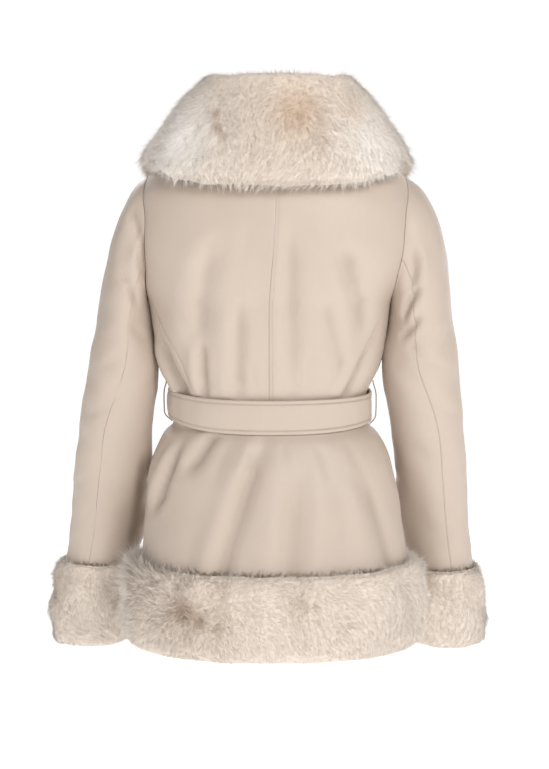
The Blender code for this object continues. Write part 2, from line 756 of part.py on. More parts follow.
def build():
    """Make every piece of the coat."""
    for thing in list(bpy.data.objects):
        bpy.data.objects.remove(thing, do_unlink=True)
    group = bpy.data.collections.new("belted_fur_trim_coat")
    bpy.context.scene.collection.children.link(group)
    for side, end in ((1, "left"), (-1, "right")):
        back_panel(side, group, leather("back_" + end))
        side_panel(side, group, leather("side_" + end))
        front_panel(side, group, leather("front_" + end))
        sleeve_part(side, "sleeve_upper_" + end, SLEEVE_BACK_SEAM, SLEEVE_FRONT_SEAM, group,
                    leather("sleeve_upper_" + end))
        sleeve_part(side, "sleeve_under_" + end, SLEEVE_FRONT_SEAM, SLEEVE_BACK_SEAM + 360, group,
                    leather("sleeve_under_" + end))
        cuff(side, group, fur("cuff_" + end))
        belt_loop(side, group, leather("belt_loop_" + end))
    gap = half_gap(SKIRT_FOOT)
    seam = SKIRT_SEAM
    skirt_panel("skirt_back", body, -seam + gap, seam - gap, 40, group, leather("skirt_back"))
    skirt_panel("skirt_front_left", underlap, seam + gap, UNDERLAP_EDGE, 14, group,
                leather("skirt_front_left"))
    skirt_panel("skirt_front_right", body, -seam - gap, -LAP_EDGE, 14, group,
                leather("skirt_front_right"))
    hem_band("hem_back", -seam + gap, seam - gap, 40, group, fur("hem_back"))
    hem_band("hem_left", seam + gap, 360 - LAP_EDGE - 2 * gap, 13, group, fur("hem_left"))
    hem_band("hem_right", -seam - gap, -LAP_EDGE, 14, group, fur("hem_right"))
    collar(group, fur("collar"))
    belt(group, leather("belt"))
    buckle(group, leather("buckle"))


build()
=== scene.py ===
"""Looks of a short belted coat: faux leather panels, faux fur trim, stitches and belt.

Metres, +Z up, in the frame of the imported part. The origin lies between the shoulders at the
height of the side neck, the front faces -Y and the wearer's left side is +X. Angles run round
the body in degrees: 0 is the centre back, 90 the wearer's left side, 180 the centre front.
"""

from __future__ import annotations

import logging
import math
from dataclasses import dataclass, field, fields
from enum import Enum
from itertools import starmap
from typing import Callable, Iterator, NamedTuple, Sequence

import bpy
import numpy as np
from bpy.types import Material, Mesh, Node, NodeSocket, NodeTree, Object
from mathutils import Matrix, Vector

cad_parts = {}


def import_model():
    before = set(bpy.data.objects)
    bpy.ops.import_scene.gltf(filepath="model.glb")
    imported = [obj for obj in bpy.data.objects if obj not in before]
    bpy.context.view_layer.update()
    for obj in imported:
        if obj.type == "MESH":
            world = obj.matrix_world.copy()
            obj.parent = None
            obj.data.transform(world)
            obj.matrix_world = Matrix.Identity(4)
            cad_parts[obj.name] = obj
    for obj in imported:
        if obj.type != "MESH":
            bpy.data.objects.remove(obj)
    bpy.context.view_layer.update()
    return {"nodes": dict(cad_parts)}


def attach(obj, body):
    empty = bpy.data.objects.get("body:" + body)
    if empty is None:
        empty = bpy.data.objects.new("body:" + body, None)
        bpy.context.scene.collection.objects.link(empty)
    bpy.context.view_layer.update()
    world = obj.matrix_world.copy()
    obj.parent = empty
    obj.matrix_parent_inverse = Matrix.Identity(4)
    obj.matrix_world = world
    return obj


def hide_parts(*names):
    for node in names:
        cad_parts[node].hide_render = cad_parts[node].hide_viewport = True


LOG = logging.getLogger("coat")
Floats = np.ndarray
Colour = tuple[float, float, float]
Point = tuple[float, float, float]
Faces = list[tuple[int, ...]]
Surface = Callable[[Floats, Floats], Floats]

# Cloth and seams
CLOTH = 0.0025
SEAM_GAP = 0.0003
REST_GAP = 0.0008
STITCH_INSET = 0.0045
SHARP_EDGE = math.radians(60)

# Heights of the main lines
SHOULDER_LEVEL = -0.043
UNDERARM_LEVEL = -0.214
WAIST_LEVEL = -0.357
SKIRT_FOOT = -0.578
HEM_FOOT = -0.673
NECK_DROP = 0.016

# Armhole, as half depths behind and before the shoulder point
ARMHOLE_BACK = 0.062
ARMHOLE_FRONT = 0.056
SIDE_PANEL_TURN = 30.0
SHOULDER_TURN = 180.0

# Angles of the seams and of the lap
CENTRE_SEAM = 0.5
SKIRT_SEAM = 112.0
LAP_EDGE = 185.5
UNDERLAP_EDGE = 187.0
LAP_DEPTH = CLOTH + 0.0012
LAP_START = 164.0
LAP_RUN = 9.0

# Sleeve
SLEEVE_BACK_SEAM = 75.0
SLEEVE_FRONT_SEAM = 300.0
CAP_FOOT = -0.240
SLEEVE_FOOT = -0.622
SLEEVE_TWIST = 30.0
SLEEVE_RADIUS = 0.050

# Belt
BELT_TOP = -0.3335
BELT_FOOT = -0.3795
BELT_MIDDLE = (BELT_TOP + BELT_FOOT) / 2
BELT_PRESS = 0.006

# How folds and creases fade at their ends, and the ridge beside a crease
FOLD_RADIUS = 0.130
FOLD_FADES = (0.35, 0.30)
CREASE_FADES = (0.30, 0.32)
RIDGE_SHARE = 0.45
RIDGE_PLACE = 1.9
RIDGE_WIDTH = 1.2

# Shade in the troughs of the cloth
HOLLOW_REACH = 3
HOLLOW_START = 0.0001
HOLLOW_DEPTH = 0.0026
HOLLOW_SHADE = 0.52

# Steps by which a surface's direction is felt
PROBE_TURN = 0.6
PROBE_RISE = 0.0012

# Patches of the fur: its warm tint, painted light and painted shade
WARM_FUR = (0.640, 0.480, 0.350)
WARM_SHARE = 0.95
# Colour of the painted light that brightens the fur where the lamps leave it dim.
PAINTED_FUR_LIGHT = (0.985, 0.930, 0.870)
# Colour of the painted shade at partings, ruffled spots and the gaps between tufts.
PAINTED_FUR_SHADE = (0.330, 0.240, 0.175)


class Slot(Enum):
    """Material slots of the part's record."""

    SHELL = "shell_leather"
    FUR = "trim_fur"
    BELT = "belt_leather"
    THREAD = "loop_thread"


class Held(Enum):
    """How a sheet of cloth is held."""

    HUNG = "hung"
    STRETCHED = "stretched"


class Side(Enum):
    """Side of the wearer, with its sign along X."""

    LEFT = 1
    RIGHT = -1

    def named(self, piece: str) -> str:
        """Name of this side's piece."""
        return f"{piece}_{self.name.lower()}"


class Edge(Enum):
    """Finish of a panel's edge: distances from it, how far the cloth sinks and how much shade is painted
    there.
    """

    HIDDEN = ((0, 0, 0),)
    FLUSH = ((0, 0.0004, 0.22), (0.0007, 0.0002, 0.12), (0.0018, 0, 0.03), (0.0030, 0, 0))
    SEAM = ((0, 0.0008, 0.65), (0.0007, 0.0004, 0.40), (0.0018, 0.0001, 0.12), (0.0030, 0, 0.02))
    TOPSTITCHED = ((0, 0.0005, 0.30), (0.0007, 0.0002, 0.16), (0.0018, 0, 0.04), (0.0036, 0.0001, 0.02),
                   (STITCH_INSET, 0.0003, 0.20), (0.0054, 0.0001, 0.02), (0.0066, 0, 0))
    FREE = ((0, 0.0009, 0.20), (0.0007, 0.0003, 0.08), (0.0018, 0, 0), (0.0036, 0.0001, 0),
            (STITCH_INSET, 0.0003, 0.20), (0.0054, 0.0001, 0.02), (0.0066, 0, 0))

    @property
    def steps(self) -> Floats:
        """Row of distances, row of sinks and row of shades."""
        return np.array(self.value, dtype=float).T


class Section(NamedTuple):
    """Body form at one level."""

    level: float
    half_width: float
    back: float
    front: float
    shift: float
    set_back: float
    square: float


class SideSeam(NamedTuple):
    """Angles of the side panel's two seams at one level."""

    level: float
    back_angle: float
    front_angle: float


class NeckEdge(NamedTuple):
    """Angle of a front's free edge above the lap."""

    level: float
    angle: float


class Fold(NamedTuple):
    """Large fold between two places; a minus depth is a trough."""

    top_angle: float
    top_level: float
    foot_angle: float
    foot_level: float
    depth: float
    half_width: float


class Crease(NamedTuple):
    """Fine crease between two places, bowed sideways, with a soft ridge on one side."""

    top_angle: float
    top_level: float
    foot_angle: float
    foot_level: float
    depth: float
    half_width: float
    bow: float


class Arm(NamedTuple):
    """Sleeve section at one level."""

    level: float
    out: float
    back: float
    half_width: float
    half_depth: float


class Pile(NamedTuple):
    """Point of a fur band's section, as shares of the pile and of the band's height."""

    reach: float
    height: float


class CollarRow(NamedTuple):
    """Collar section, from the centre back (turn 0) to the tip of a lapel (turn 1)."""

    turn: float
    neck_angle: float
    neck_level: float
    edge_angle: float
    edge_level: float
    rise: float
    lean: float
    height: float


BODY_ROWS = tuple(starmap(Section, (
    (0, 0.078, 0.06, 0.066, -0.007, 0.004, 2),
    (-0.02, 0.122, 0.08, 0.078, -0.006, 0.004, 2.1),
    (-0.043, 0.172, 0.098, 0.089, -0.004, 0.004, 2.2),
    (-0.08, 0.187, 0.111, 0.102, -0.003, 0.004, 2.3),
    (-0.13, 0.189, 0.119, 0.113, -0.001, 0.004, 2.3),
    (-0.18, 0.177, 0.12, 0.124, 0.003, 0.002, 2.3),
    (-0.214, 0.163, 0.118, 0.128, 0.005, 0, 2.3),
    (-0.252, 0.158, 0.114, 0.126, 0.005, 0, 2.3),
    (-0.3, 0.149, 0.107, 0.117, 0.005, 0.001, 2.3),
    (-0.32, 0.1385, 0.103, 0.111, 0.005, 0.002, 2.3),
    (-0.334, 0.132, 0.099, 0.105, 0.005, 0.002, 2.3),
    (-0.357, 0.1305, 0.098, 0.103, 0.005, 0.002, 2.3),
    (-0.379, 0.133, 0.1, 0.104, 0.004, 0.003, 2.3),
    (-0.392, 0.146, 0.108, 0.109, 0.003, 0.004, 2.3),
    (-0.43, 0.163, 0.121, 0.114, 0.002, 0.008, 2.25),
    (-0.5, 0.174, 0.132, 0.118, 0, 0.014, 2.2),
    (-0.578, 0.184, 0.137, 0.116, 0, 0.02, 2.2),
    (-0.68, 0.189, 0.138, 0.115, 0, 0.022, 2.3),
)))

SIDE_SEAM_ROWS = tuple(starmap(SideSeam, (
    (-0.2025, 79, 100),
    (-0.238, 67.5, 106),
    (-0.292, 56, 113),
    (-0.34, 52, 117),
    (-0.4, 51, 118),
)))

NECK_EDGE_ROWS = tuple(starmap(NeckEdge, (
    (0, 94),
    (-0.012, 106),
    (-0.026, 117.5),
    (-0.043, 127.5),
    (-0.09, 144),
    (-0.15, 162),
    (-0.2, 173),
    (-0.24, 181),
    (-0.262, 187),
)))

BACK_FOLDS = tuple(starmap(Fold, (
    (72, -0.262, 58, -0.352, -0.0075, 0.01),
    (42, -0.262, 45, -0.352, -0.0035, 0.008),
    (36, -0.15, 46, -0.29, -0.004, 0.018),
    (24, -0.2, 19, -0.35, -0.004, 0.012),
    (-14, -0.13, -20, -0.345, -0.0035, 0.012),
    (-46, -0.12, -66, -0.285, -0.0045, 0.017),
    (-60, -0.265, -52, -0.352, -0.0055, 0.01),
    (-33, -0.24, -40, -0.35, -0.003, 0.011),
    (3, -0.378, 28, -0.64, -0.008, 0.017),
    (-22, -0.42, -14, -0.76, -0.0085, 0.02),
    (34, -0.378, 54, -0.52, -0.005, 0.014),
    (56, -0.405, 62, -0.54, -0.007, 0.01),
    (-44, -0.4, -38, -0.76, -0.004, 0.018),
    (-62, -0.378, -72, -0.7, -0.006, 0.013),
)))
FRONT_FOLDS = tuple(starmap(Fold, (
    (128, -0.18, 134, -0.35, -0.004, 0.014),
    (-124, -0.18, -131, -0.35, -0.004, 0.014),
    (152, -0.24, 150, -0.35, -0.003, 0.012),
    (-154, -0.25, -150, -0.35, -0.003, 0.012),
    (86, -0.4, 92, -0.76, -0.006, 0.015),
    (-96, -0.39, -98, -0.76, -0.0055, 0.014),
    (122, -0.378, 126, -0.76, -0.007, 0.016),
    (-122, -0.385, -128, -0.76, -0.0065, 0.016),
    (148, -0.395, 150, -0.76, -0.005, 0.015),
    (-150, -0.378, -154, -0.76, -0.006, 0.014),
)))

BACK_DRAPE = tuple(starmap(Crease, (
    (31, -0.105, 44.5, -0.285, 0.006, 0.014, 1.5),
    (41.5, -0.25, 47.5, -0.35, 0.0075, 0.007, 0),
    (17, -0.19, 23.5, -0.352, 0.0058, 0.011, 0),
    (-9.5, -0.075, -18, -0.352, 0.0062, 0.013, -1.5),
    (-34, -0.11, -61, -0.268, 0.0062, 0.013, -3),
    (-32, -0.19, -51, -0.312, 0.0034, 0.011, 0),
    (73, -0.248, 60, -0.354, 0.013, 0.009, 0),
    (-64, -0.262, -53, -0.352, 0.006, 0.01, 0),
    (0, -0.362, 33, -0.65, 0.0095, 0.012, 6),
    (-18, -0.395, -10, -0.72, 0.009, 0.018, 3),
    (37, -0.362, 52, -0.44, 0.0075, 0.01, 0),
    (58, -0.385, 74, -0.5, 0.011, 0.008, -1.5),
    (-40, -0.4, -36, -0.62, 0.0026, 0.016, 0),
    (-52, -0.405, -72, -0.64, 0.0075, 0.013, 0),
)))

BODY_CREASES = tuple(starmap(Crease, (
    (34, -0.105, 41, -0.185, 0.0011, 0.008, 2),
    (58, -0.215, 47, -0.262, 0.0012, 0.006, -2),
    (66, -0.29, 54, -0.331, 0.0016, 0.006, 1),
    (44, -0.285, 38, -0.331, 0.0012, 0.006, 1.5),
    (30, -0.292, 31, -0.332, 0.001, 0.005, -1),
    (12, -0.275, 9, -0.332, 0.001, 0.006, 1),
    (-7, -0.29, -9, -0.332, 0.0009, 0.006, -1),
    (-26, -0.262, -29, -0.332, 0.0012, 0.006, 1.5),
    (-47, -0.27, -42, -0.331, 0.0014, 0.006, -1),
    (-70, -0.225, -57, -0.3, 0.0015, 0.007, -2),
    (-38, -0.1, -47, -0.17, 0.0011, 0.009, -2),
    (-20, -0.085, -24, -0.15, 0.0007, 0.009, 1),
    (16, -0.09, 20, -0.15, 0.0007, 0.009, -1),
    (14, -0.382, 8, -0.44, 0.0012, 0.006, 1.5),
    (42, -0.382, 47, -0.425, 0.0014, 0.006, -1.5),
    (26, -0.383, 33, -0.45, 0.0011, 0.007, 2),
    (-8, -0.383, -11, -0.43, 0.0011, 0.006, 1),
    (-30, -0.382, -33, -0.45, 0.0013, 0.007, -1.5),
    (-50, -0.382, -55, -0.44, 0.0012, 0.006, 1),
    (68, -0.383, 72, -0.45, 0.0013, 0.007, 1),
    (60, -0.445, 68, -0.478, 0.0018, 0.005, -1.5),
    (-76, -0.395, -84, -0.47, 0.0013, 0.007, 1.5),
    (10, -0.47, 16, -0.56, 0.0009, 0.011, 2),
    (-28, -0.48, -25, -0.572, 0.0009, 0.011, -2),
    (-52, -0.48, -58, -0.572, 0.0009, 0.01, 2),
    (44, -0.49, 46, -0.57, 0.0009, 0.01, -2),
    (118, -0.23, 125, -0.331, 0.0014, 0.008, 3),
    (-116, -0.22, -122, -0.331, 0.0013, 0.008, -3),
    (142, -0.27, 139, -0.331, 0.0012, 0.006, 1.5),
    (-140, -0.28, -138, -0.331, 0.0013, 0.006, -1.5),
    (162, -0.285, 159, -0.331, 0.001, 0.006, 1),
    (-166, -0.29, -163, -0.331, 0.001, 0.006, -1),
    (105, -0.382, 108, -0.45, 0.0012, 0.007, 1.5),
    (-108, -0.382, -112, -0.44, 0.0013, 0.006, 1),
    (134, -0.382, 137, -0.47, 0.0013, 0.007, -2),
    (-136, -0.382, -140, -0.46, 0.0012, 0.007, 2),
    (-170, -0.382, -168, -0.44, 0.001, 0.006, 1),
    (166, -0.382, 164, -0.45, 0.001, 0.006, -1),
    (88, -0.405, 90, -0.557, -0.0042, 0.03, 0),
)))

LEFT_ARM_ROWS = tuple(starmap(Arm, (
    (-0.24, 0.203, 0.002, 0.0355, 0.063),
    (-0.3, 0.2045, 0.001, 0.0475, 0.058),
    (-0.354, 0.211, -0.006, 0.05, 0.054),
    (-0.42, 0.22, -0.024, 0.051, 0.052),
    (-0.48, 0.2275, -0.046, 0.0505, 0.05),
    (-0.545, 0.2365, -0.067, 0.0485, 0.048),
    (-0.62, 0.2515, -0.086, 0.046, 0.046),
    (-0.72, 0.262, -0.096, 0.046, 0.046),
)))
RIGHT_ARM_ROWS = tuple(starmap(Arm, (
    (-0.24, 0.2, 0.002, 0.043, 0.061),
    (-0.3, 0.1995, 0.001, 0.0515, 0.057),
    (-0.354, 0.2065, -0.006, 0.051, 0.054),
    (-0.42, 0.214, -0.024, 0.05, 0.052),
    (-0.48, 0.2205, -0.046, 0.048, 0.049),
    (-0.545, 0.2285, -0.072, 0.0455, 0.046),
    (-0.62, 0.24, -0.092, 0.044, 0.045),
    (-0.72, 0.249, -0.103, 0.044, 0.045),
)))

SLEEVE_FOLDS = tuple(starmap(Fold, (
    (60, -0.255, 130, -0.305, -0.0035, 0.012),
    (70, -0.33, 150, -0.372, -0.003, 0.013),
    (200, -0.34, 280, -0.392, -0.0035, 0.013),
    (100, -0.44, 170, -0.475, -0.0025, 0.014),
)))

LEFT_SLEEVE_CREASES = tuple(starmap(Crease, (
    (142, -0.078, 96, -0.126, 0.0058, 0.0048, 0),
    (103, -0.116, 52, -0.19, 0.0035, 0.006, 0),
    (8, -0.195, 8, -0.318, -0.0036, 0.02, 0),
    (6, -0.39, 8, -0.588, -0.0048, 0.022, 0),
    (6, -0.49, 8, -0.6, -0.0042, 0.02, 0),
    (122, -0.166, 50, -0.218, 0.0048, 0.008, -6),
    (120, -0.095, 96, -0.15, 0.0018, 0.009, 4),
    (70, -0.235, 20, -0.268, 0.0016, 0.008, 4),
)))
RIGHT_SLEEVE_CREASES = tuple(starmap(Crease, (
    (100, -0.125, 62, -0.198, 0.0062, 0.007, 6),
    (100, -0.18, 48, -0.238, 0.0074, 0.006, -6),
    (90, -0.22, 42, -0.26, 0.005, 0.005, 4),
    (150, -0.235, 92, -0.29, 0.0022, 0.01, 6),
    (60, -0.262, 104, -0.3, 0.0014, 0.008, 4),
    (8, -0.185, 8, -0.3, -0.003, 0.02, 0),
    (6, -0.455, 8, -0.6, -0.0048, 0.022, 0),
)))
BOTH_SLEEVE_CREASES = tuple(starmap(Crease, (
    (40, -0.3, 112, -0.345, 0.0009, 0.009, 5),
    (300, -0.26, 360, -0.305, 0.0022, 0.007, 6),
    (290, -0.31, 365, -0.35, 0.0022, 0.006, -6),
    (280, -0.365, 350, -0.385, 0.0018, 0.006, 5),
    (190, -0.352, 250, -0.37, 0.0014, 0.007, 8),
    (60, -0.405, 130, -0.44, 0.0008, 0.01, -8),
    (215, -0.42, 290, -0.455, 0.0016, 0.007, 8),
    (80, -0.5, 140, -0.53, 0.0008, 0.011, 6),
    (230, -0.49, 300, -0.52, 0.0013, 0.008, -6),
    (330, -0.43, 395, -0.47, 0.0014, 0.008, -8),
    (325, -0.52, 390, -0.545, 0.0012, 0.008, 6),
)))

PILE_ROWS = tuple(starmap(Pile, (
    (0.26, 1),
    (0.68, 0.97),
    (0.94, 0.82),
    (1, 0.55),
    (0.95, 0.25),
    (0.66, 0.05),
    (0.22, 0),
)))

COLLAR_ROWS = tuple(starmap(CollarRow, (
    (0, 0, -0.016, 0, -0.05, 0.113, 0.16, 0.037),
    (0.22, 46, -0.01, 45, -0.049, 0.106, 0.14, 0.034),
    (0.42, 89, -0.001, 88, -0.035, 0.095, 0.06, 0.031),
    (0.54, 116, -0.026, 113, -0.064, 0.086, 0.3, 0.033),
    (0.7, 141, -0.083, 124, -0.13, 0.062, 0.65, 0.033),
    (0.86, 163, -0.156, 142, -0.198, 0.042, 1, 0.03),
    (1, 176.5, -0.226, 168, -0.25, 0.024, 1, 0.02),
)))


def ease(t: Floats | float) -> Floats:
    """Soft step from 0 to 1."""
    t = np.clip(t, 0.0, 1.0)
    return t * t * (3 - 2 * t)


def window(level: Floats, top: float, foot: float, soft: float) -> Floats:
    """Share of 1 between a top and a foot, with soft ends."""
    return ease((top - level) / soft) * ease((level - foot) / soft)


def unit(vectors: Floats) -> Floats:
    """Vectors brought to length one."""
    return vectors / np.maximum(np.linalg.norm(vectors, axis=-1, keepdims=True), 1e-12)


def mix(first: Floats | float, second: Floats | float, share: Floats | float) -> Floats:
    """Value between two others."""
    return first + (second - first) * share


def turned(angle: Floats, centre: Floats | float) -> Floats:
    """Degrees from a centre to an angle, the short way round."""
    return (angle - centre + 180.0) % 360.0 - 180.0


def together(*values: Floats | float) -> list[Floats]:
    """Numbers and arrays brought to arrays of one shape."""
    return np.broadcast_arrays(*(np.asarray(value, float) for value in values))


def hermite(start: Floats, leave: Floats, end: Floats, arrive: Floats, run: Floats, t: Floats) -> Floats:
    """Place on a curve between two places that are left and reached in given directions.

    Args:
        start: First place.
        leave: Direction in which it is left.
        end: Last place.
        arrive: Direction in which it is reached.
        run: Length that the directions count for.
        t: Share of the way.

    Returns:
        The place.
    """
    first = (1 + 2 * t) * (1 - t) ** 2 * start + t * (1 - t) ** 2 * run * leave
    return first + (t * t * (3 - 2 * t) * end + t * t * (t - 1) * run * arrive)


class Table:
    """Rows of named columns, read along a smooth curve that never overshoots them."""

    def __init__(self, rows: Sequence[NamedTuple], key: str) -> None:
        """Sort the rows by their key and find the slope of each column.

        Args:
            rows: Named rows of numbers.
            key: Column that the others are read along.
        """
        ordered = np.array(sorted(rows, key=lambda row: getattr(row, key)), dtype=float)
        columns = dict(zip(rows[0]._fields, ordered.T))
        self.knots = columns[key]
        self.columns = {name: (values, self.slopes(values)) for name, values in columns.items()}

    def slopes(self, values: Floats) -> Floats:
        """Slope of one column's curve at each row.

        Args:
            values: The column.

        Returns:
            The slope at each knot.
        """
        run = np.diff(self.knots)
        rise = np.diff(values) / run
        slope = np.zeros(len(values))
        slope[0] = rise[0]
        slope[-1] = rise[-1]
        for i in range(1, len(values) - 1):
            if rise[i - 1] * rise[i] > 0:
                before = 2 * run[i] + run[i - 1]
                after = run[i] + 2 * run[i - 1]
                slope[i] = (before + after) / (before / rise[i - 1] + after / rise[i])
        return slope

    def at(self, column: str, place: Floats | float) -> Floats:
        """Value of a column.

        Args:
            column: Name of the column.
            place: One place or an array of places along the key.

        Returns:
            The value at each place.
        """
        values, slope = self.columns[column]
        place = np.clip(place, self.knots[0], self.knots[-1])
        i = np.clip(np.searchsorted(self.knots, place) - 1, 0, len(self.knots) - 2)
        run = self.knots[i + 1] - self.knots[i]
        t = (place - self.knots[i]) / run
        return hermite(values[i], slope[i], values[i + 1], slope[i + 1], run, t)


def fold_depth(folds: Sequence[Fold], radius: float, angle: Floats, level: Floats) -> Floats:
    """Sum of the large folds, less than 0 in a trough.

    Args:
        folds: The folds.
        radius: Radius that turns degrees into lengths.
        angle: Angles of the places.
        level: Levels of the places.

    Returns:
        Depth at each place.
    """
    depth = np.zeros(np.broadcast(angle, level).shape)
    for fold in folds:
        along = (fold.top_level - level) / (fold.top_level - fold.foot_level)
        centre = mix(fold.top_angle, fold.foot_angle, along)
        across = np.radians(turned(angle, centre)) * radius / fold.half_width
        fade = ease(along / FOLD_FADES[0]) * ease((1 - along) / FOLD_FADES[1])
        depth = depth + fold.depth * fade * np.exp(-across ** 2)
    return depth


def crease_depth(creases: Sequence[Crease], radius: float, angle: Floats, level: Floats) -> Floats:
    """Sum of the fine creases, less than 0 in a trough.

    Args:
        creases: The creases.
        radius: Radius that turns degrees into lengths.
        angle: Angles of the places.
        level: Levels of the places.

    Returns:
        Depth at each place.
    """
    depth = np.zeros(np.broadcast(angle, level).shape)
    for crease in creases:
        along_turn = np.radians(crease.foot_angle - crease.top_angle) * radius
        along_fall = crease.top_level - crease.foot_level
        length = math.hypot(along_turn, along_fall)
        x = np.radians(turned(angle, crease.top_angle)) * radius
        y = crease.top_level - level
        along = (x * along_turn + y * along_fall) / length ** 2
        bow = math.radians(crease.bow) * radius * np.sin(np.pi * np.clip(along, 0, 1))
        across = ((x * along_fall - y * along_turn) / length - bow) / crease.half_width
        fade = ease(along / CREASE_FADES[0]) * ease((1 - along) / CREASE_FADES[1])
        ridge = RIDGE_SHARE * np.exp(-((across - RIDGE_PLACE) / RIDGE_WIDTH) ** 2)
        depth = depth - crease.depth * fade * (np.exp(-across ** 2) - ridge)
    return depth


class Ripple:
    """Seeded unevenness in space: a few waves of different lengths and directions."""

    waves = 14

    def __init__(self, seed: int, longest: float, shortest: float) -> None:
        """Draw the waves.

        Args:
            seed: Seed of the draw.
            longest: Longest wave.
            shortest: Shortest wave.
        """
        draw = np.random.default_rng(seed)
        length = longest * (shortest / longest) ** draw.random(self.waves)
        self.ways = unit(draw.normal(size=(self.waves, 3))) * (2 * np.pi / length)[:, None]
        self.phases = draw.random(self.waves) * 2 * np.pi
        self.heights = length / longest
        self.heights /= np.sqrt((self.heights ** 2).sum() / 2)

    def at(self, points: Floats) -> Floats:
        """Height at each point, about -1 to 1."""
        return np.sin(points @ self.ways.T + self.phases) @ self.heights


def normal_of(surface: Surface, angle: Floats, level: Floats) -> Floats:
    """Outward direction of a surface that is given by angle and level.

    Args:
        surface: Function from angle and level to a point.
        angle: Angles of the places.
        level: Levels of the places.

    Returns:
        One direction for each place.
    """
    round_about = surface(angle + PROBE_TURN, level) - surface(angle - PROBE_TURN, level)
    upward = surface(angle, level + PROBE_RISE) - surface(angle, level - PROBE_RISE)
    return unit(np.cross(upward, round_about))


class BodyForm:
    """Outer face of the coat's cloth round the body, by angle and level."""

    unevenness_height = 0.00045

    def __init__(self) -> None:
        """Read the tables of the form."""
        self.sections = Table(BODY_ROWS, "level")
        self.side_seams = Table(SIDE_SEAM_ROWS, "level")
        self.neck_edge = Table(NECK_EDGE_ROWS, "level")
        self.unevenness = Ripple(seed=11, longest=0.120, shortest=0.028)

    def ring(self, angle: Floats, level: Floats) -> Floats:
        """Point of the plain form.

        Args:
            angle: Angles of the places.
            level: Levels of the places.

        Returns:
            One point for each place.
        """
        turn = np.radians(angle)
        rows = self.sections
        width = rows.at("half_width", level)
        depth = np.where(np.cos(turn) >= 0, rows.at("back", level), rows.at("front", level))
        power = rows.at("square", level)
        reach = (np.abs(np.sin(turn)) / width) ** power + (np.abs(np.cos(turn)) / depth) ** power
        radius = reach ** (-1 / power)
        x = rows.at("shift", level) + radius * np.sin(turn)
        y = rows.at("set_back", level) + radius * np.cos(turn)
        return np.stack(np.broadcast_arrays(x, y, level), axis=-1)

    def point(self, angle: Floats, level: Floats) -> Floats:
        """Point of the outer face with its large folds, as the solids have it.

        Args:
            angle: Angles of the places.
            level: Levels of the places.

        Returns:
            One point for each place.
        """
        angle, level = together(angle, level)
        depth = fold_depth(BACK_FOLDS + FRONT_FOLDS, FOLD_RADIUS, angle, level)
        return self.ring(angle, level) + normal_of(self.ring, angle, level) * depth[..., None]

    def out(self, angle: Floats, level: Floats, out: Floats | float) -> Floats:
        """Point at a distance out from the cloth."""
        angle, level, out = together(angle, level, out)
        return self.point(angle, level) + normal_of(self.point, angle, level) * out[..., None]

    def cloth(self, angle: Floats, level: Floats) -> Floats:
        """Point of the outer face with folds, creases and the unevenness of worn cloth.

        Args:
            angle: Angles of the places.
            level: Levels of the places.

        Returns:
            One point for each place.
        """
        angle, level = together(angle, level)
        plain = self.ring(angle, level)
        fine = crease_depth(BACK_DRAPE + BODY_CREASES, FOLD_RADIUS, angle, level)
        fine = fine + self.unevenness.at(plain) * self.unevenness_height
        pressed = window(level, BELT_TOP + BELT_PRESS, BELT_FOOT - BELT_PRESS, BELT_PRESS)
        depth = fold_depth(FRONT_FOLDS, FOLD_RADIUS, angle, level) + fine * (1 - pressed)
        return plain + normal_of(self.ring, angle, level) * depth[..., None]

    def cloth_out(self, angle: float, level: float, out: float) -> Floats:
        """Point at a distance out from the cloth as it falls."""
        place = together(angle, level)
        return self.cloth(*place) + normal_of(self.ring, *place) * out

    def sunk_cloth(self, angle: Floats, level: Floats) -> Floats:
        """Point of the left front, which sinks below the lapping edge."""
        sunk = -LAP_DEPTH * ease((np.asarray(angle) - LAP_START) / LAP_RUN)
        return self.cloth(angle, level) + normal_of(self.point, angle, level) * sunk[..., None]

    def core(self, points: Floats) -> Floats:
        """Middle of the body at the height of each point."""
        return points * np.array((0.0, 0.0, 1.0))

    def half_gap(self, level: float) -> float:
        """Angle of half a seam's gap at a level."""
        return math.degrees(SEAM_GAP / 2) / float(self.sections.at("half_width", level))

    def armhole_level(self, turn: Floats | float) -> Floats:
        """Height of the armhole: turn 0 is the underarm, 90 the back, 180 the shoulder point."""
        return mix(UNDERARM_LEVEL, SHOULDER_LEVEL, (1 - np.cos(np.radians(turn))) / 2)

    def armhole_angle(self, turn: Floats | float) -> Floats:
        """Angle round the body of the armhole's edge.

        Args:
            turn: Turn round the armhole, in degrees.

        Returns:
            The angle round the body.
        """
        rows = self.sections
        level = self.armhole_level(turn)
        swing = np.sin(np.radians(turn))
        y = np.where(swing >= 0, ARMHOLE_BACK, ARMHOLE_FRONT) * swing - rows.at("set_back", level)
        depth = np.where(y >= 0, rows.at("back", level), rows.at("front", level))
        power = rows.at("square", level)
        x = rows.at("half_width", level) * (1 - (np.abs(y) / depth) ** power) ** (1 / power)
        return np.degrees(np.arctan2(x, y))

    def front_edge(self, side: Side, level: float) -> float:
        """Angle of a front's free edge."""
        edge = LAP_EDGE if side is Side.RIGHT else UNDERLAP_EDGE
        return min(float(self.neck_edge.at("angle", level)), edge)


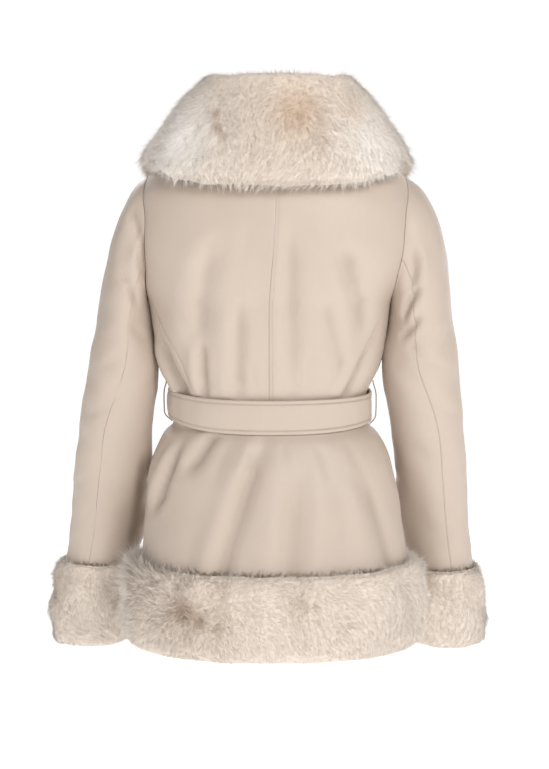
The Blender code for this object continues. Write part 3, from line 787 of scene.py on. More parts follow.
@dataclass
class SleeveForm:
    """Outer face of one sleeve, by turn round the arm: 0 faces the body, 90 the back."""

    body: BodyForm
    side: Side
    cap_pull: float
    leave_under: Point = (0.20, 0.0, -1.0)
    leave_top: Point = (0.92, 0.0, -0.40)
    arrive: Point = (0.10, 0.0, -1.0)
    swing: float = 0.16
    twist_run: float = 0.16
    unevenness_height: float = 0.00055
    armhole_gap: float = 0.0001
    fold_share: float = 0.45
    core_drop: float = 0.02
    smooth_share: float = 0.05

    def __post_init__(self) -> None:
        """Read the tables of this arm."""
        left = self.side is Side.LEFT
        self.arm = Table(LEFT_ARM_ROWS if left else RIGHT_ARM_ROWS, "level")
        self.creases = (LEFT_SLEEVE_CREASES if left else RIGHT_SLEEVE_CREASES) + BOTH_SLEEVE_CREASES
        self.unevenness = Ripple(seed=23 + self.side.value, longest=0.090, shortest=0.025)

    def ring(self, turn: Floats, level: Floats | float, out: Floats | float) -> Floats:
        """Point at a distance out from a sleeve's section.

        Args:
            turn: Turn round the arm, in degrees.
            level: Level of the section.
            out: Distance out from the cloth.

        Returns:
            One point for each place.
        """
        turn = np.radians(turn)
        x = self.arm.at("out", level) - (self.arm.at("half_width", level) + out) * np.cos(turn)
        y = self.arm.at("back", level) + (self.arm.at("half_depth", level) + out) * np.sin(turn)
        return np.stack(np.broadcast_arrays(self.side.value * x, y, level), axis=-1)

    def core(self, points: Floats) -> Floats:
        """Middle of the arm at the height of each point.

        Args:
            points: The points.

        Returns:
            One point inside the arm for each.
        """
        height = points[..., 2]
        level = np.minimum(height, CAP_FOOT)
        return np.stack((self.side.value * self.arm.at("out", level), self.arm.at("back", level),
                         height - self.core_drop * (height > CAP_FOOT)), axis=-1)

    def cap(self, turns: Floats, shares: Floats) -> list[Floats]:
        """Rows of the sleeve cap from the armhole down to the first full section.

        Args:
            turns: Turns of the columns.
            shares: Share of the way down of each row.

        Returns:
            One row of points for each share.
        """
        mirror = np.array((self.side.value, 1.0, 1.0))
        start = self.body.cloth(self.side.value * self.body.armhole_angle(turns),
                                self.body.armhole_level(turns))
        end = self.ring(turns, np.full(len(turns), CAP_FOOT), 0.0)
        lift = ((1 - np.cos(np.radians(turns))) / 2)[:, None]
        leave = mix(np.array(self.leave_under), np.array(self.leave_top), lift)
        leave[:, 1] = self.swing * np.sin(np.radians(turns))
        leave = unit(leave * mirror)
        start = start + leave * self.armhole_gap
        length = np.linalg.norm(end - start, axis=1, keepdims=True) * self.cap_pull
        arrive = np.array(self.arrive) * mirror
        return [hermite(start, leave, end, arrive, length, t) for t in shares]

    def grid(self, turns: Floats, shares: Floats, levels: Floats) -> Floats:
        """Outer points of a strip of the sleeve, from the armhole down.

        Args:
            turns: Turns of the columns.
            shares: Rows of the cap, as shares of the way down it.
            levels: Levels of the rows below the cap.

        Returns:
            Rows and columns of points.
        """
        rows = self.cap(turns, shares)
        twisted = [turns] * len(rows)
        for level in levels:
            turn = turns + SLEEVE_TWIST * ease((CAP_FOOT - level) / self.twist_run)
            depth = fold_depth(SLEEVE_FOLDS, SLEEVE_RADIUS, turn, np.full(len(turns), level))
            rows.append(self.ring(turn, level, depth * self.fold_share))
            twisted.append(turn)
        plain = np.array(rows)
        fine = crease_depth(self.creases, SLEEVE_RADIUS, np.array(twisted), plain[..., 2])
        fine = fine + self.unevenness.at(plain) * self.unevenness_height
        down = np.concatenate((shares, np.ones(len(levels))))
        fine = fine * ease(down / self.smooth_share)[:, None]
        return plain + grid_normals(plain, self.core(plain)) * fine[..., None]


def grid_normals(points: Floats, core: Floats, wrap: bool = False) -> Floats:
    """Outward directions at the points of a grid.

    Args:
        points: Rows and columns of points.
        core: Points inside the form.
        wrap: Whether each row closes on itself.

    Returns:
        One direction for each point.
    """
    if wrap:
        across = np.roll(points, -1, axis=1) - np.roll(points, 1, axis=1)
    else:
        across = np.gradient(points, axis=1)
    normal = unit(np.cross(across, np.gradient(points, axis=0)))
    facing = np.sum(normal * (points - core), axis=-1)
    return normal if facing.mean() > 0 else -normal


def hollows(points: Floats, normal: Floats) -> Floats:
    """How far each point of a grid lies below the mean of the points round it.

    Args:
        points: Rows and columns of points.
        normal: Way out at each point.

    Returns:
        The depth of the hollow at each point.
    """
    around = points
    shifts = range(-HOLLOW_REACH, HOLLOW_REACH + 1)
    for axis in (0, 1):
        last = around.shape[axis] - 1
        places = np.arange(last + 1)
        around = sum(np.take(around, np.clip(places + shift, 0, last), axis) for shift in shifts)
        around = around / len(shifts)
    return np.sum((around - points) * normal, axis=-1)


def cut_of(grid: Floats) -> tuple[tuple[float, float], float]:
    """Flat cut of a grid of points.

    Args:
        grid: Rows and columns of points on one face of the cloth.

    Returns:
        Width and length of the cut, and its area.
    """
    across = np.linalg.norm(np.diff(grid, axis=1), axis=2).sum(axis=1).max()
    along = np.linalg.norm(np.diff(grid, axis=0), axis=2).sum(axis=0).max()
    first = grid[1:, 1:] - grid[:-1, :-1]
    second = grid[1:, :-1] - grid[:-1, 1:]
    area = np.linalg.norm(np.cross(first, second), axis=2).sum() / 2
    return (float(across), float(along)), float(min(area, across * along))


def grid_quads(rows: int, columns: int, wrap: bool = False) -> Faces:
    """Faces between the points of a grid.

    Args:
        rows: How many rows there are.
        columns: How many columns there are.
        wrap: Whether each row closes on itself.

    Returns:
        Four corners for each face.
    """
    faces = []
    for base in range(0, (rows - 1) * columns, columns):
        for i in range(columns if wrap else columns - 1):
            j = (i + 1) % columns
            faces.append((base + i, base + j, base + columns + j, base + columns + i))
    return faces


def mesh_of(name: str, points: Floats, faces: Faces) -> Mesh:
    """Mesh of points and faces, shaded smooth up to sharp edges.

    Args:
        name: Name of the mesh.
        points: The points.
        faces: Corners of each face.

    Returns:
        The mesh.
    """
    mesh = bpy.data.meshes.new(name)
    mesh.from_pydata(points.reshape(-1, 3).tolist(), [], faces)
    mesh.update()
    mesh.shade_smooth()
    mesh.set_sharp_from_angle(angle=SHARP_EDGE)
    return mesh


def write_floats(mesh: Mesh, name: str, values: Floats) -> None:
    """Store one number for each point of a mesh."""
    mesh.attributes.new(name, "FLOAT", "POINT").data.foreach_set("value", np.ravel(values))


def write_vectors(mesh: Mesh, name: str, values: Floats) -> None:
    """Store one vector for each point of a mesh."""
    mesh.attributes.new(name, "FLOAT_VECTOR", "POINT").data.foreach_set("vector", np.ravel(values))


class NodeSheet:
    """Short ways to add and link the nodes of one tree."""

    def __init__(self, tree: NodeTree) -> None:
        """Keep the tree."""
        self.tree = tree

    def add(self, kind: str, inputs: dict[str, object] | None = None, **settings: object) -> Node:
        """Add a node.

        Args:
            kind: Type of the node.
            inputs: Values or sockets for its named inputs.
            **settings: Properties of the node.

        Returns:
            The node.
        """
        node = self.tree.nodes.new(kind)
        for name, value in settings.items():
            setattr(node, name, value)
        self.fill(node, inputs or {})
        return node

    def fill(self, node: Node, inputs: dict[str, object]) -> None:
        """Give values or sockets to the named inputs of a node.

        Args:
            node: The node.
            inputs: Values or sockets by the names of the inputs.
        """
        for name, value in inputs.items():
            self.feed(next(s for s in node.inputs if s.name == name and s.enabled), value)

    def feed(self, socket: NodeSocket, value: object) -> None:
        """Link a socket to an input, or set the input's value.

        Args:
            socket: Input of a node.
            value: Socket to link it to, or its value.
        """
        if isinstance(value, NodeSocket):
            self.tree.links.new(value, socket)
        else:
            socket.default_value = value

    def work(self, kind: str, operation: str, values: Sequence[object]) -> Node:
        """Node that works out a sum of values or sockets.

        Args:
            kind: Type of the node.
            operation: Name of the operation.
            values: Values or sockets that it takes, in order.

        Returns:
            The node.
        """
        node = self.add(kind, operation=operation)
        for socket, value in zip(node.inputs, values):
            self.feed(socket, value)
        return node

    def maths(self, operation: str, *values: object) -> NodeSocket:
        """Result of a sum on numbers."""
        return self.work("ShaderNodeMath", operation, values).outputs[0]

    def times(self, first: object, second: object) -> NodeSocket:
        """Product of two numbers."""
        return self.maths("MULTIPLY", first, second)

    def line(self, value: object, slope: object, start: object) -> NodeSocket:
        """Number times a slope, plus a start."""
        return self.maths("MULTIPLY_ADD", value, slope, start)

    def spread(self, value: NodeSocket, low: float, high: float) -> NodeSocket:
        """Number from 0 to 1 spread between two others."""
        return self.line(value, high - low, low)

    def vector(self, operation: str, *values: object) -> NodeSocket:
        """Result of a sum on vectors."""
        node = self.work("ShaderNodeVectorMath", operation, values)
        return node.outputs["Value" if operation in ("DOT_PRODUCT", "LENGTH") else "Vector"]

    def scaled(self, vector: object, factor: object) -> NodeSocket:
        """Vector times a factor.

        Args:
            vector: The vector.
            factor: The factor.

        Returns:
            The socket of the result.
        """
        node = self.work("ShaderNodeVectorMath", "SCALE", (vector,))
        self.feed(node.inputs["Scale"], factor)
        return node.outputs["Vector"]

    def blend(self, share: object, first: object, second: object, mode: str = "MIX") -> NodeSocket:
        """Colour between two others.

        Args:
            share: How much of the second colour there is.
            first: First colour.
            second: Second colour.
            mode: How they are blended.

        Returns:
            The socket of the colour.
        """
        inputs = {"Factor": share, "A": first, "B": second}
        node = self.add("ShaderNodeMix", inputs, data_type="RGBA", blend_type=mode)
        return next(s for s in node.outputs if s.enabled)

    def read(self, name: str, output: str = "Fac") -> NodeSocket:
        """Attribute of the surface, for a material."""
        return self.add("ShaderNodeAttribute", attribute_name=name).outputs[output]

    def noise(self, place: NodeSocket, scale: float, detail: float, **inputs: float) -> NodeSocket:
        """Uneven number from 0 to 1 over a place."""
        inputs = {"Vector": place, "Scale": scale, "Detail": detail, **inputs}
        return self.add("ShaderNodeTexNoise", inputs).outputs["Fac"]

    def bump(self, height: NodeSocket, strength: float, distance: float, **inputs: object) -> NodeSocket:
        """Direction of a surface that is raised by a height."""
        inputs = {"Height": height, "Strength": strength, "Distance": distance, **inputs}
        return self.add("ShaderNodeBump", inputs).outputs["Normal"]


def rgba(colour: Colour) -> tuple[float, float, float, float]:
    """Colour with full cover."""
    return (*colour, 1.0)


@dataclass(frozen=True)
class Finish:
    """Finish of a surface: its name and what its shader is given."""

    name: str

    def inputs(self, sheet: NodeSheet) -> dict[str, object]:
        """Values and sockets for the shader."""
        raise NotImplementedError

    def material(self) -> Material:
        """Make the material.

        Returns:
            The material.
        """
        material = bpy.data.materials.new(self.name)
        material.use_nodes = True
        sheet = NodeSheet(material.node_tree)
        sheet.fill(material.node_tree.nodes["Principled BSDF"], self.inputs(sheet))
        return material


@dataclass(frozen=True)
class LeatherFinish(Finish):
    """Smooth matt faux leather with a fine pebble grain and painted shade in its seams and the troughs of its
    folds.
    """

    light: Colour = (0.535, 0.443, 0.369)
    deep: Colour = (0.487, 0.399, 0.329)
    # Colour and share of the shade painted into seams, fold troughs and the belt's grooves.
    groove: Colour = (0.250, 0.190, 0.145)
    groove_share: float = 0.55
    patch_scale: float = 9.0
    patch_share: float = 0.65
    mottle_scale: float = 140.0
    grain_scale: float = 950.0
    grain_height: float = 0.00025
    wrinkle_scale: float = 210.0
    wrinkle_height: float = 0.0007
    relief: float = 0.30
    softness: float = 0.6
    roughness: tuple[float, float] = (0.44, 0.58)
    specular: float = 0.42
    sheen: float = 0.06
    sheen_roughness: float = 0.5

    def inputs(self, sheet: NodeSheet) -> dict[str, object]:
        """Mottled colour with shade painted into the seams and troughs, with pebble grain over fine wrinkles.

        Args:
            sheet: Node sheet of the material.

        Returns:
            Values and sockets for the shader.
        """
        place = sheet.add("ShaderNodeTexCoord").outputs["Object"]
        patch = sheet.noise(place, self.patch_scale, 3.0)
        mottle = sheet.noise(place, self.mottle_scale, 4.0)
        tone = sheet.line(mottle, 1 - self.patch_share, sheet.times(patch, self.patch_share))
        colour = sheet.blend(tone, rgba(self.deep), rgba(self.light))
        # Painted shade: the shade attribute blends the colour towards the groove colour.
        dark = sheet.times(sheet.read("shade"), self.groove_share)
        grain = sheet.add("ShaderNodeTexVoronoi", {"Vector": place, "Scale": self.grain_scale,
                                                   "Smoothness": self.softness}, feature="SMOOTH_F1")
        wrinkle = sheet.noise(place, self.wrinkle_scale, 5.0, Roughness=self.softness)
        wide = sheet.bump(wrinkle, self.relief, self.wrinkle_height)
        fine = sheet.bump(grain.outputs["Distance"], self.relief, self.grain_height, Normal=wide)
        return {"Base Color": sheet.blend(dark, colour, rgba(self.groove)),
                "Roughness": sheet.spread(mottle, *self.roughness), "Specular IOR Level": self.specular,
                "Sheen Weight": self.sheen, "Sheen Roughness": self.sheen_roughness,
                "Normal": fine}


@dataclass(frozen=True)
class NapFinish(Finish):
    """Matt fibres: a colour between two others, and an uneven surface."""

    light: Colour
    deep: Colour
    scale: float
    detail: float
    roughness: float
    sheen: float
    strength: float
    height: float

    def inputs(self, sheet: NodeSheet) -> dict[str, object]:
        """Uneven colour and surface.

        Args:
            sheet: Node sheet of the material.

        Returns:
            Values and sockets for the shader.
        """
        nap = sheet.noise(sheet.add("ShaderNodeTexCoord").outputs["Object"], self.scale, self.detail)
        colour = sheet.blend(nap, rgba(self.deep), rgba(self.light))
        return {"Base Color": self.tinted(sheet, colour), "Roughness": self.roughness,
                "Sheen Weight": self.sheen, "Normal": sheet.bump(nap, self.strength, self.height)}

    def tinted(self, sheet: NodeSheet, colour: NodeSocket) -> NodeSocket:
        """Colour of plain fibres, as it is."""
        return colour


@dataclass(frozen=True)
class SkinFinish(NapFinish):
    """Dense undergrowth that shows between the hairs of the fur."""

    # How much shade is painted where the fur is ruffled and where it parts.
    ruffled_share: float = 0.3
    parted_share: float = 0.7

    def tinted(self, sheet: NodeSheet, colour: NodeSocket) -> NodeSocket:
        """Colour with warm patches and patches of painted light, and painted shade where the hair parts and
        where it is ruffled.

        Args:
            sheet: Node sheet of the material.
            colour: Colour of the plain fibres.

        Returns:
            The socket of the colour.
        """
        parted = sheet.times(sheet.read("parted"), self.parted_share)
        deep = sheet.line(sheet.read("ruffled"), self.ruffled_share, parted)
        return sheet.blend(deep, fur_patches(sheet, colour), rgba(PAINTED_FUR_SHADE))


def fur_patches(sheet: NodeSheet, colour: NodeSocket) -> NodeSocket:
    """Colour of fur with its warm patches and its patches of painted light."""
    colour = sheet.blend(sheet.times(sheet.read("warm"), WARM_SHARE), colour, rgba(WARM_FUR))
    return sheet.blend(sheet.read("pale"), colour, rgba(PAINTED_FUR_LIGHT))


@dataclass(frozen=True)
class FurFinish(Finish):
    """Long soft faux fur, tan at the roots and cream at the tips, warmer in patches, with painted light in
    places and painted shade at partings and between its tufts.
    """

    root: Colour = (0.640, 0.530, 0.432)
    middle: Colour = (0.880, 0.776, 0.676)
    tip: Colour = (0.940, 0.842, 0.748)
    root_slope: float = 2.2
    tip_slope: float = 1.6
    patch_scale: float = 22.0
    patch_tones: tuple[float, float] = (0.93, 1.05)
    hair_tone: float = 0.06
    # Painted shade on the hairs' lower parts, between the tufts, in ruffled spots and at partings.
    border_slope: float = 2.0
    border_start: float = -0.4
    gap_share: float = 0.22
    ruffled_share: float = 0.65
    parted_share: float = 0.75
    roughness: float = 0.72
    specular: float = 0.25
    sheen: float = 0.15

    def inputs(self, sheet: NodeSheet) -> dict[str, object]:
        """Colour along each hair, toned by patches, with painted light in places and painted shade low on the
        hairs in the gaps between tufts and at partings.

        Args:
            sheet: Node sheet of the material.

        Returns:
            Values and sockets for the shader.
        """
        along = sheet.read("along")
        low = sheet.blend(sheet.times(along, self.root_slope), rgba(self.root), rgba(self.middle))
        colour = sheet.blend(sheet.line(along, self.tip_slope, 1 - self.tip_slope), low, rgba(self.tip))
        colour = fur_patches(sheet, colour)
        patch = sheet.noise(sheet.read("root", "Vector"), self.patch_scale, 3.0)
        level = sheet.line(sheet.read("tone"), self.hair_tone, sheet.spread(patch, *self.patch_tones))
        grey = sheet.add("ShaderNodeCombineColor", {"Red": level, "Green": level, "Blue": level})
        colour = sheet.blend(1.0, colour, grey.outputs["Color"], "MULTIPLY")
        # Painted shade: the lower part of each hair darkens at the tufts' borders, in ruffled spots and at
        # partings.
        aside = sheet.vector("LENGTH", sheet.read("tuft_side", "Vector"))
        border = sheet.maths("MAXIMUM", sheet.line(aside, self.border_slope, self.border_start), 0.0)
        gap = sheet.times(border, sheet.line(sheet.read("ruffled"), self.ruffled_share, self.gap_share))
        deep = sheet.line(sheet.read("parted"), self.parted_share, gap)
        hidden = sheet.times(deep, sheet.maths("SUBTRACT", 1.0, along))
        return {"Base Color": sheet.blend(hidden, colour, rgba(PAINTED_FUR_SHADE)), "Roughness": self.roughness,
                "Specular IOR Level": self.specular, "Sheen Weight": self.sheen}


@dataclass(frozen=True)
class FloorFinish(Finish):
    """Plain pale studio floor."""

    colour: Colour = (0.93, 0.93, 0.93)
    roughness: float = 0.9
    glow: float = 0.76

    def inputs(self, sheet: NodeSheet) -> dict[str, object]:
        """Even colour with a soft glow."""
        return {"Base Color": rgba(self.colour), "Roughness": self.roughness,
                "Emission Color": rgba(self.colour), "Emission Strength": self.glow}


def label(name: str) -> str:
    """Name of a node tree's input, from the name of a value."""
    return name.replace("_", " ").title()


class NodeMaker:
    """A node tree that turns a carrier mesh into a plain mesh."""

    name = "maker"
    inputs: dict[str, str] = {}

    def __init__(self) -> None:
        """Make the tree with its named inputs."""
        self.tree = bpy.data.node_groups.new(self.name, "GeometryNodeTree")
        face = self.tree.interface
        face.new_socket("Geometry", in_out="INPUT", socket_type="NodeSocketGeometry")
        self.keys: dict[str, str] = {}
        for name, kind in self.inputs.items():
            self.keys[name] = face.new_socket(name, in_out="INPUT", socket_type=kind).identifier
        face.new_socket("Geometry", in_out="OUTPUT", socket_type="NodeSocketGeometry")
        self.sheet = NodeSheet(self.tree)
        self.given = self.tree.nodes.new("NodeGroupInput").outputs
        smooth = self.sheet.add("GeometryNodeSetShadeSmooth", {"Geometry": self.build()})
        dressed = self.sheet.add("GeometryNodeSetMaterial", {
            "Geometry": smooth.outputs["Geometry"], "Material": self.given["Material"]})
        self.sheet.add("NodeGroupOutput", {"Geometry": dressed.outputs["Geometry"]})

    def build(self) -> NodeSocket:
        """Add the nodes and return the socket of the shape."""
        raise NotImplementedError

    def plant(self, inputs: dict[str, object]) -> NodeSocket:
        """Real copies of a shape on points."""
        planted = self.sheet.add("GeometryNodeInstanceOnPoints", inputs).outputs["Instances"]
        return self.sheet.add("GeometryNodeRealizeInstances", {"Geometry": planted}).outputs["Geometry"]

    def make(self, name: str, carrier: Mesh, values: dict[str, object]) -> Mesh:
        """Run the tree on a carrier mesh.

        Args:
            name: Name of the new mesh.
            carrier: Mesh that the shapes grow on.
            values: Value of each named input.

        Returns:
            The plain mesh.
        """
        holder = bpy.data.objects.new(name + "_carrier", carrier)
        bpy.context.scene.collection.objects.link(holder)
        modifier = holder.modifiers.new(self.name, "NODES")
        modifier.node_group = self.tree
        for key, value in values.items():
            modifier[self.keys[key]] = value
        graph = bpy.context.evaluated_depsgraph_get()
        mesh = bpy.data.meshes.new_from_object(
            holder.evaluated_get(graph), preserve_all_data_layers=True, depsgraph=graph)
        holder.modifiers.remove(modifier)
        bpy.data.objects.remove(holder)
        mesh.name = name
        return mesh


class StitchMaker(NodeMaker):
    """Stitches laid end to end along lines of points."""

    name = "topstitches"
    inputs = {"Pitch": "NodeSocketFloat", "Length": "NodeSocketFloat", "Radius": "NodeSocketFloat",
              "Material": "NodeSocketMaterial"}

    def build(self) -> NodeSocket:
        """Add the nodes.

        Returns:
            The socket of the stitches.
        """
        sheet, given = self.sheet, self.given
        line = sheet.add("GeometryNodeMeshToCurve", {"Mesh": given["Geometry"]}).outputs["Curve"]
        even = sheet.add("GeometryNodeResampleCurve", mode="LENGTH")
        sheet.feed(even.inputs["Curve"], line)
        sheet.feed(even.inputs["Length"], given["Pitch"])
        bead = sheet.add("GeometryNodeMeshUVSphere", {"Segments": 6, "Rings": 4, "Radius": 1.0})
        tangent = sheet.add("GeometryNodeInputTangent").outputs["Tangent"]
        facing = sheet.add("FunctionNodeAlignRotationToVector", {"Vector": tangent}, axis="Z")
        size = sheet.add("ShaderNodeCombineXYZ", {
            "X": given["Radius"], "Y": given["Radius"], "Z": sheet.times(given["Length"], 0.5)})
        return self.plant({"Points": even.outputs["Curve"], "Instance": bead.outputs["Mesh"],
                           "Rotation": facing.outputs["Rotation"], "Scale": size.outputs["Vector"]})


@dataclass(frozen=True)
class FurLook:
    """One layer of hair: how thick it grows, how long it is and how it lies."""

    layer: str
    density: float
    length: float
    shortest: float
    width: float
    thinness: float
    segments: int
    lift: float
    jitter: float
    tuft_size: float
    tuft_pull: float
    lock_lean: float
    wave_size: float
    wave_height: float
    droop: float
    seed: int

    def values(self, material: Material) -> dict[str, object]:
        """Value of each input of the fur's node tree."""
        given = {label(item.name): getattr(self, item.name) for item in fields(self)[1:]}
        return given | {"Material": material}


LONG_HAIR = FurLook(
    layer="long_hair", density=150000.0, length=0.0155, shortest=0.55, width=0.00055, thinness=0.4,
    segments=1, lift=0.48, jitter=0.20, tuft_size=0.0085, tuft_pull=0.85, lock_lean=0.45,
    wave_size=0.030, wave_height=0.010, droop=0.001, seed=5)
SHORT_HAIR = FurLook(
    layer="short_hair", density=150000.0, length=0.0100, shortest=0.6, width=0.00055, thinness=0.4,
    segments=1, lift=0.58, jitter=0.30, tuft_size=0.0055, tuft_pull=0.7, lock_lean=0.45,
    wave_size=0.020, wave_height=0.006, droop=0.0005, seed=17)


class FurMaker(NodeMaker):
    """Tapered hairs that grow from a skin, lie along its comb and gather into tufts."""

    name = "fur_hairs"
    inputs = {label(item.name): "NodeSocketInt" if item.type == "int" else "NodeSocketFloat"
              for item in fields(FurLook)[1:]} | {"Material": "NodeSocketMaterial"}
    middle = (0.5, 0.5, 0.5)
    roll = 0.5
    widths = (0.7, 1.2)
    ruffled_lift = 0.6
    ruffled_lean = 1.3
    ruffled_pull = 0.7

    def read(self, name: str, kind: str = "FLOAT_VECTOR") -> NodeSocket:
        """Socket of a stored attribute."""
        return self.sheet.add("GeometryNodeInputNamedAttribute", {"Name": name},
                              data_type=kind).outputs["Attribute"]

    def store(self, shape: NodeSocket, name: str, value: object, kind: str = "FLOAT_VECTOR") -> NodeSocket:
        """Shape with one more stored attribute on its points.

        Args:
            shape: Socket of the shape.
            name: Name of the attribute.
            value: Its value.
            kind: Its data type.

        Returns:
            The socket of the shape.
        """
        return self.sheet.add("GeometryNodeStoreNamedAttribute",
                              {"Geometry": shape, "Name": name, "Value": value},
                              data_type=kind, domain="POINT").outputs["Geometry"]

    def random(self, low: object, high: object, step: int, kind: str = "FLOAT") -> NodeSocket:
        """Random number or vector for each hair.

        Args:
            low: Least value.
            high: Greatest value.
            step: What is added to the seed, so that no two draws are alike.
            kind: Data type of the value.

        Returns:
            The socket of the value.
        """
        seed = self.sheet.maths("ADD", self.given["Seed"], float(step))
        node = self.sheet.add("FunctionNodeRandomValue", {"Min": low, "Max": high, "Seed": seed},
                              data_type=kind)
        return next(s for s in node.outputs if s.enabled)

    def scatter(self, reach: float, step: int) -> NodeSocket:
        """Random vector for each hair, up to a reach each way."""
        return self.random((-reach,) * 3, (reach,) * 3, step, "FLOAT_VECTOR")

    def place(self) -> NodeSocket:
        """Place of each point."""
        return self.sheet.add("GeometryNodeInputPosition").outputs["Position"]

    def ruffled(self, most: float) -> NodeSocket:
        """Factor that grows from 1 where the fur is ruffled."""
        return self.sheet.line(self.read("ruffled", "FLOAT"), most, 1.0)

    def build(self) -> NodeSocket:
        """Add the nodes.

        Returns:
            The socket of the hairs.
        """
        sheet, given = self.sheet, self.given
        thick = sheet.times(given["Density"], self.read("grow", "FLOAT"))
        sown = sheet.add("GeometryNodeDistributePointsOnFaces", {
            "Mesh": given["Geometry"], "Density": thick, "Seed": given["Seed"]}).outputs
        spots = self.store(sown["Points"], "root", self.place())
        spots = self.store(spots, "skin_normal", sown["Normal"])
        spots = self.store(spots, "tone", self.random(-1.0, 1.0, 1), "FLOAT")
        planted = self.plant({"Points": spots, "Instance": self.hair(), "Rotation": self.facing(),
                              "Scale": self.size()})
        aside = sheet.scaled(self.tuft_pull(), sheet.maths("DIVIDE", -1.0, given["Tuft Size"]))
        combed = self.store(planted, "tuft_side", aside)
        bent = sheet.add("GeometryNodeSetPosition", {"Geometry": combed, "Offset": self.bend()})
        return bent.outputs["Geometry"]

    def hair(self) -> NodeSocket:
        """One hair: a three-sided blade from root to tip, one metre long.

        Returns:
            The socket of the blade.
        """
        blade = self.sheet.add("GeometryNodeMeshCone", {
            "Vertices": 3, "Side Segments": self.given["Segments"], "Fill Segments": 1,
            "Radius Top": 0.0, "Radius Bottom": 0.5, "Depth": 1.0}, fill_type="NGON")
        height = self.sheet.add("ShaderNodeSeparateXYZ", {"Vector": self.place()}).outputs["Z"]
        return self.store(blade.outputs["Mesh"], "along", height, "FLOAT")

    def facing(self) -> NodeSocket:
        """Rotation of each hair: along the comb, lifted and jittered, its flat side out.

        Returns:
            The socket of the rotation.
        """
        sheet, given = self.sheet, self.given
        normal = self.read("skin_normal")
        lift = sheet.times(given["Lift"], self.ruffled(self.ruffled_lift))
        lock = sheet.vector("SUBTRACT", self.locks().outputs["Color"], self.middle)
        lean = sheet.line(self.read("ruffled", "FLOAT"), self.ruffled_lean, given["Lock Lean"])
        way = self.read("comb")
        for vector, share in ((normal, lift), (lock, lean), (self.scatter(1.0, 2), given["Jitter"])):
            way = sheet.vector("ADD", way, sheet.scaled(vector, share))
        out = sheet.vector("ADD", normal, self.scatter(self.roll, 3))
        axes = sheet.add("FunctionNodeAxesToRotation", {"Primary Axis": way, "Secondary Axis": out},
                         primary_axis="Z", secondary_axis="Y")
        return axes.outputs["Rotation"]

    def size(self) -> NodeSocket:
        """Scale of each hair: width, thickness and length.

        Returns:
            The socket of the scale.
        """
        sheet, given = self.sheet, self.given
        length = sheet.times(given["Length"], self.random(given["Shortest"], 1.0, 4))
        length = sheet.times(length, self.read("reach", "FLOAT"))
        width = sheet.times(given["Width"], self.random(*self.widths, 5))
        flat = sheet.times(width, given["Thinness"])
        return sheet.add("ShaderNodeCombineXYZ", {"X": width, "Y": flat, "Z": length}).outputs["Vector"]

    def locks(self) -> Node:
        """Cells that share the hairs out among the tufts."""
        scale = self.sheet.maths("DIVIDE", 1.0, self.given["Tuft Size"])
        return self.sheet.add("ShaderNodeTexVoronoi", {"Vector": self.read("root"), "Scale": scale})

    def tuft_pull(self) -> NodeSocket:
        """Way along the skin from each hair's root to the middle of its tuft.

        Returns:
            The socket of the way.
        """
        sheet = self.sheet
        normal = self.read("skin_normal")
        pull = sheet.vector("SUBTRACT", self.locks().outputs["Position"], self.read("root"))
        through = sheet.vector("DOT_PRODUCT", pull, normal)
        return sheet.vector("SUBTRACT", pull, sheet.scaled(normal, through))

    def bend(self) -> NodeSocket:
        """Shift of each point: towards the tuft's middle, in waves, and down at the tip.

        Returns:
            The socket of the shift.
        """
        sheet, given = self.sheet, self.given
        along = self.read("along", "FLOAT")
        late = sheet.times(along, along)
        gather = sheet.times(given["Tuft Pull"], self.ruffled(self.ruffled_pull))
        pull = sheet.scaled(self.tuft_pull(), sheet.times(late, gather))
        waves = sheet.add("ShaderNodeTexNoise", {
            "Vector": self.read("root"), "Scale": sheet.maths("DIVIDE", 1.0, given["Wave Size"]),
            "Detail": 2.0})
        wave = sheet.vector("SUBTRACT", waves.outputs["Color"], self.middle)
        wave = sheet.scaled(wave, sheet.times(late, given["Wave Height"]))
        fall = sheet.times(sheet.times(late, given["Droop"]), -1.0)
        droop = sheet.add("ShaderNodeCombineXYZ", {"Z": fall}).outputs["Vector"]
        return sheet.vector("ADD", sheet.vector("ADD", pull, wave), droop)


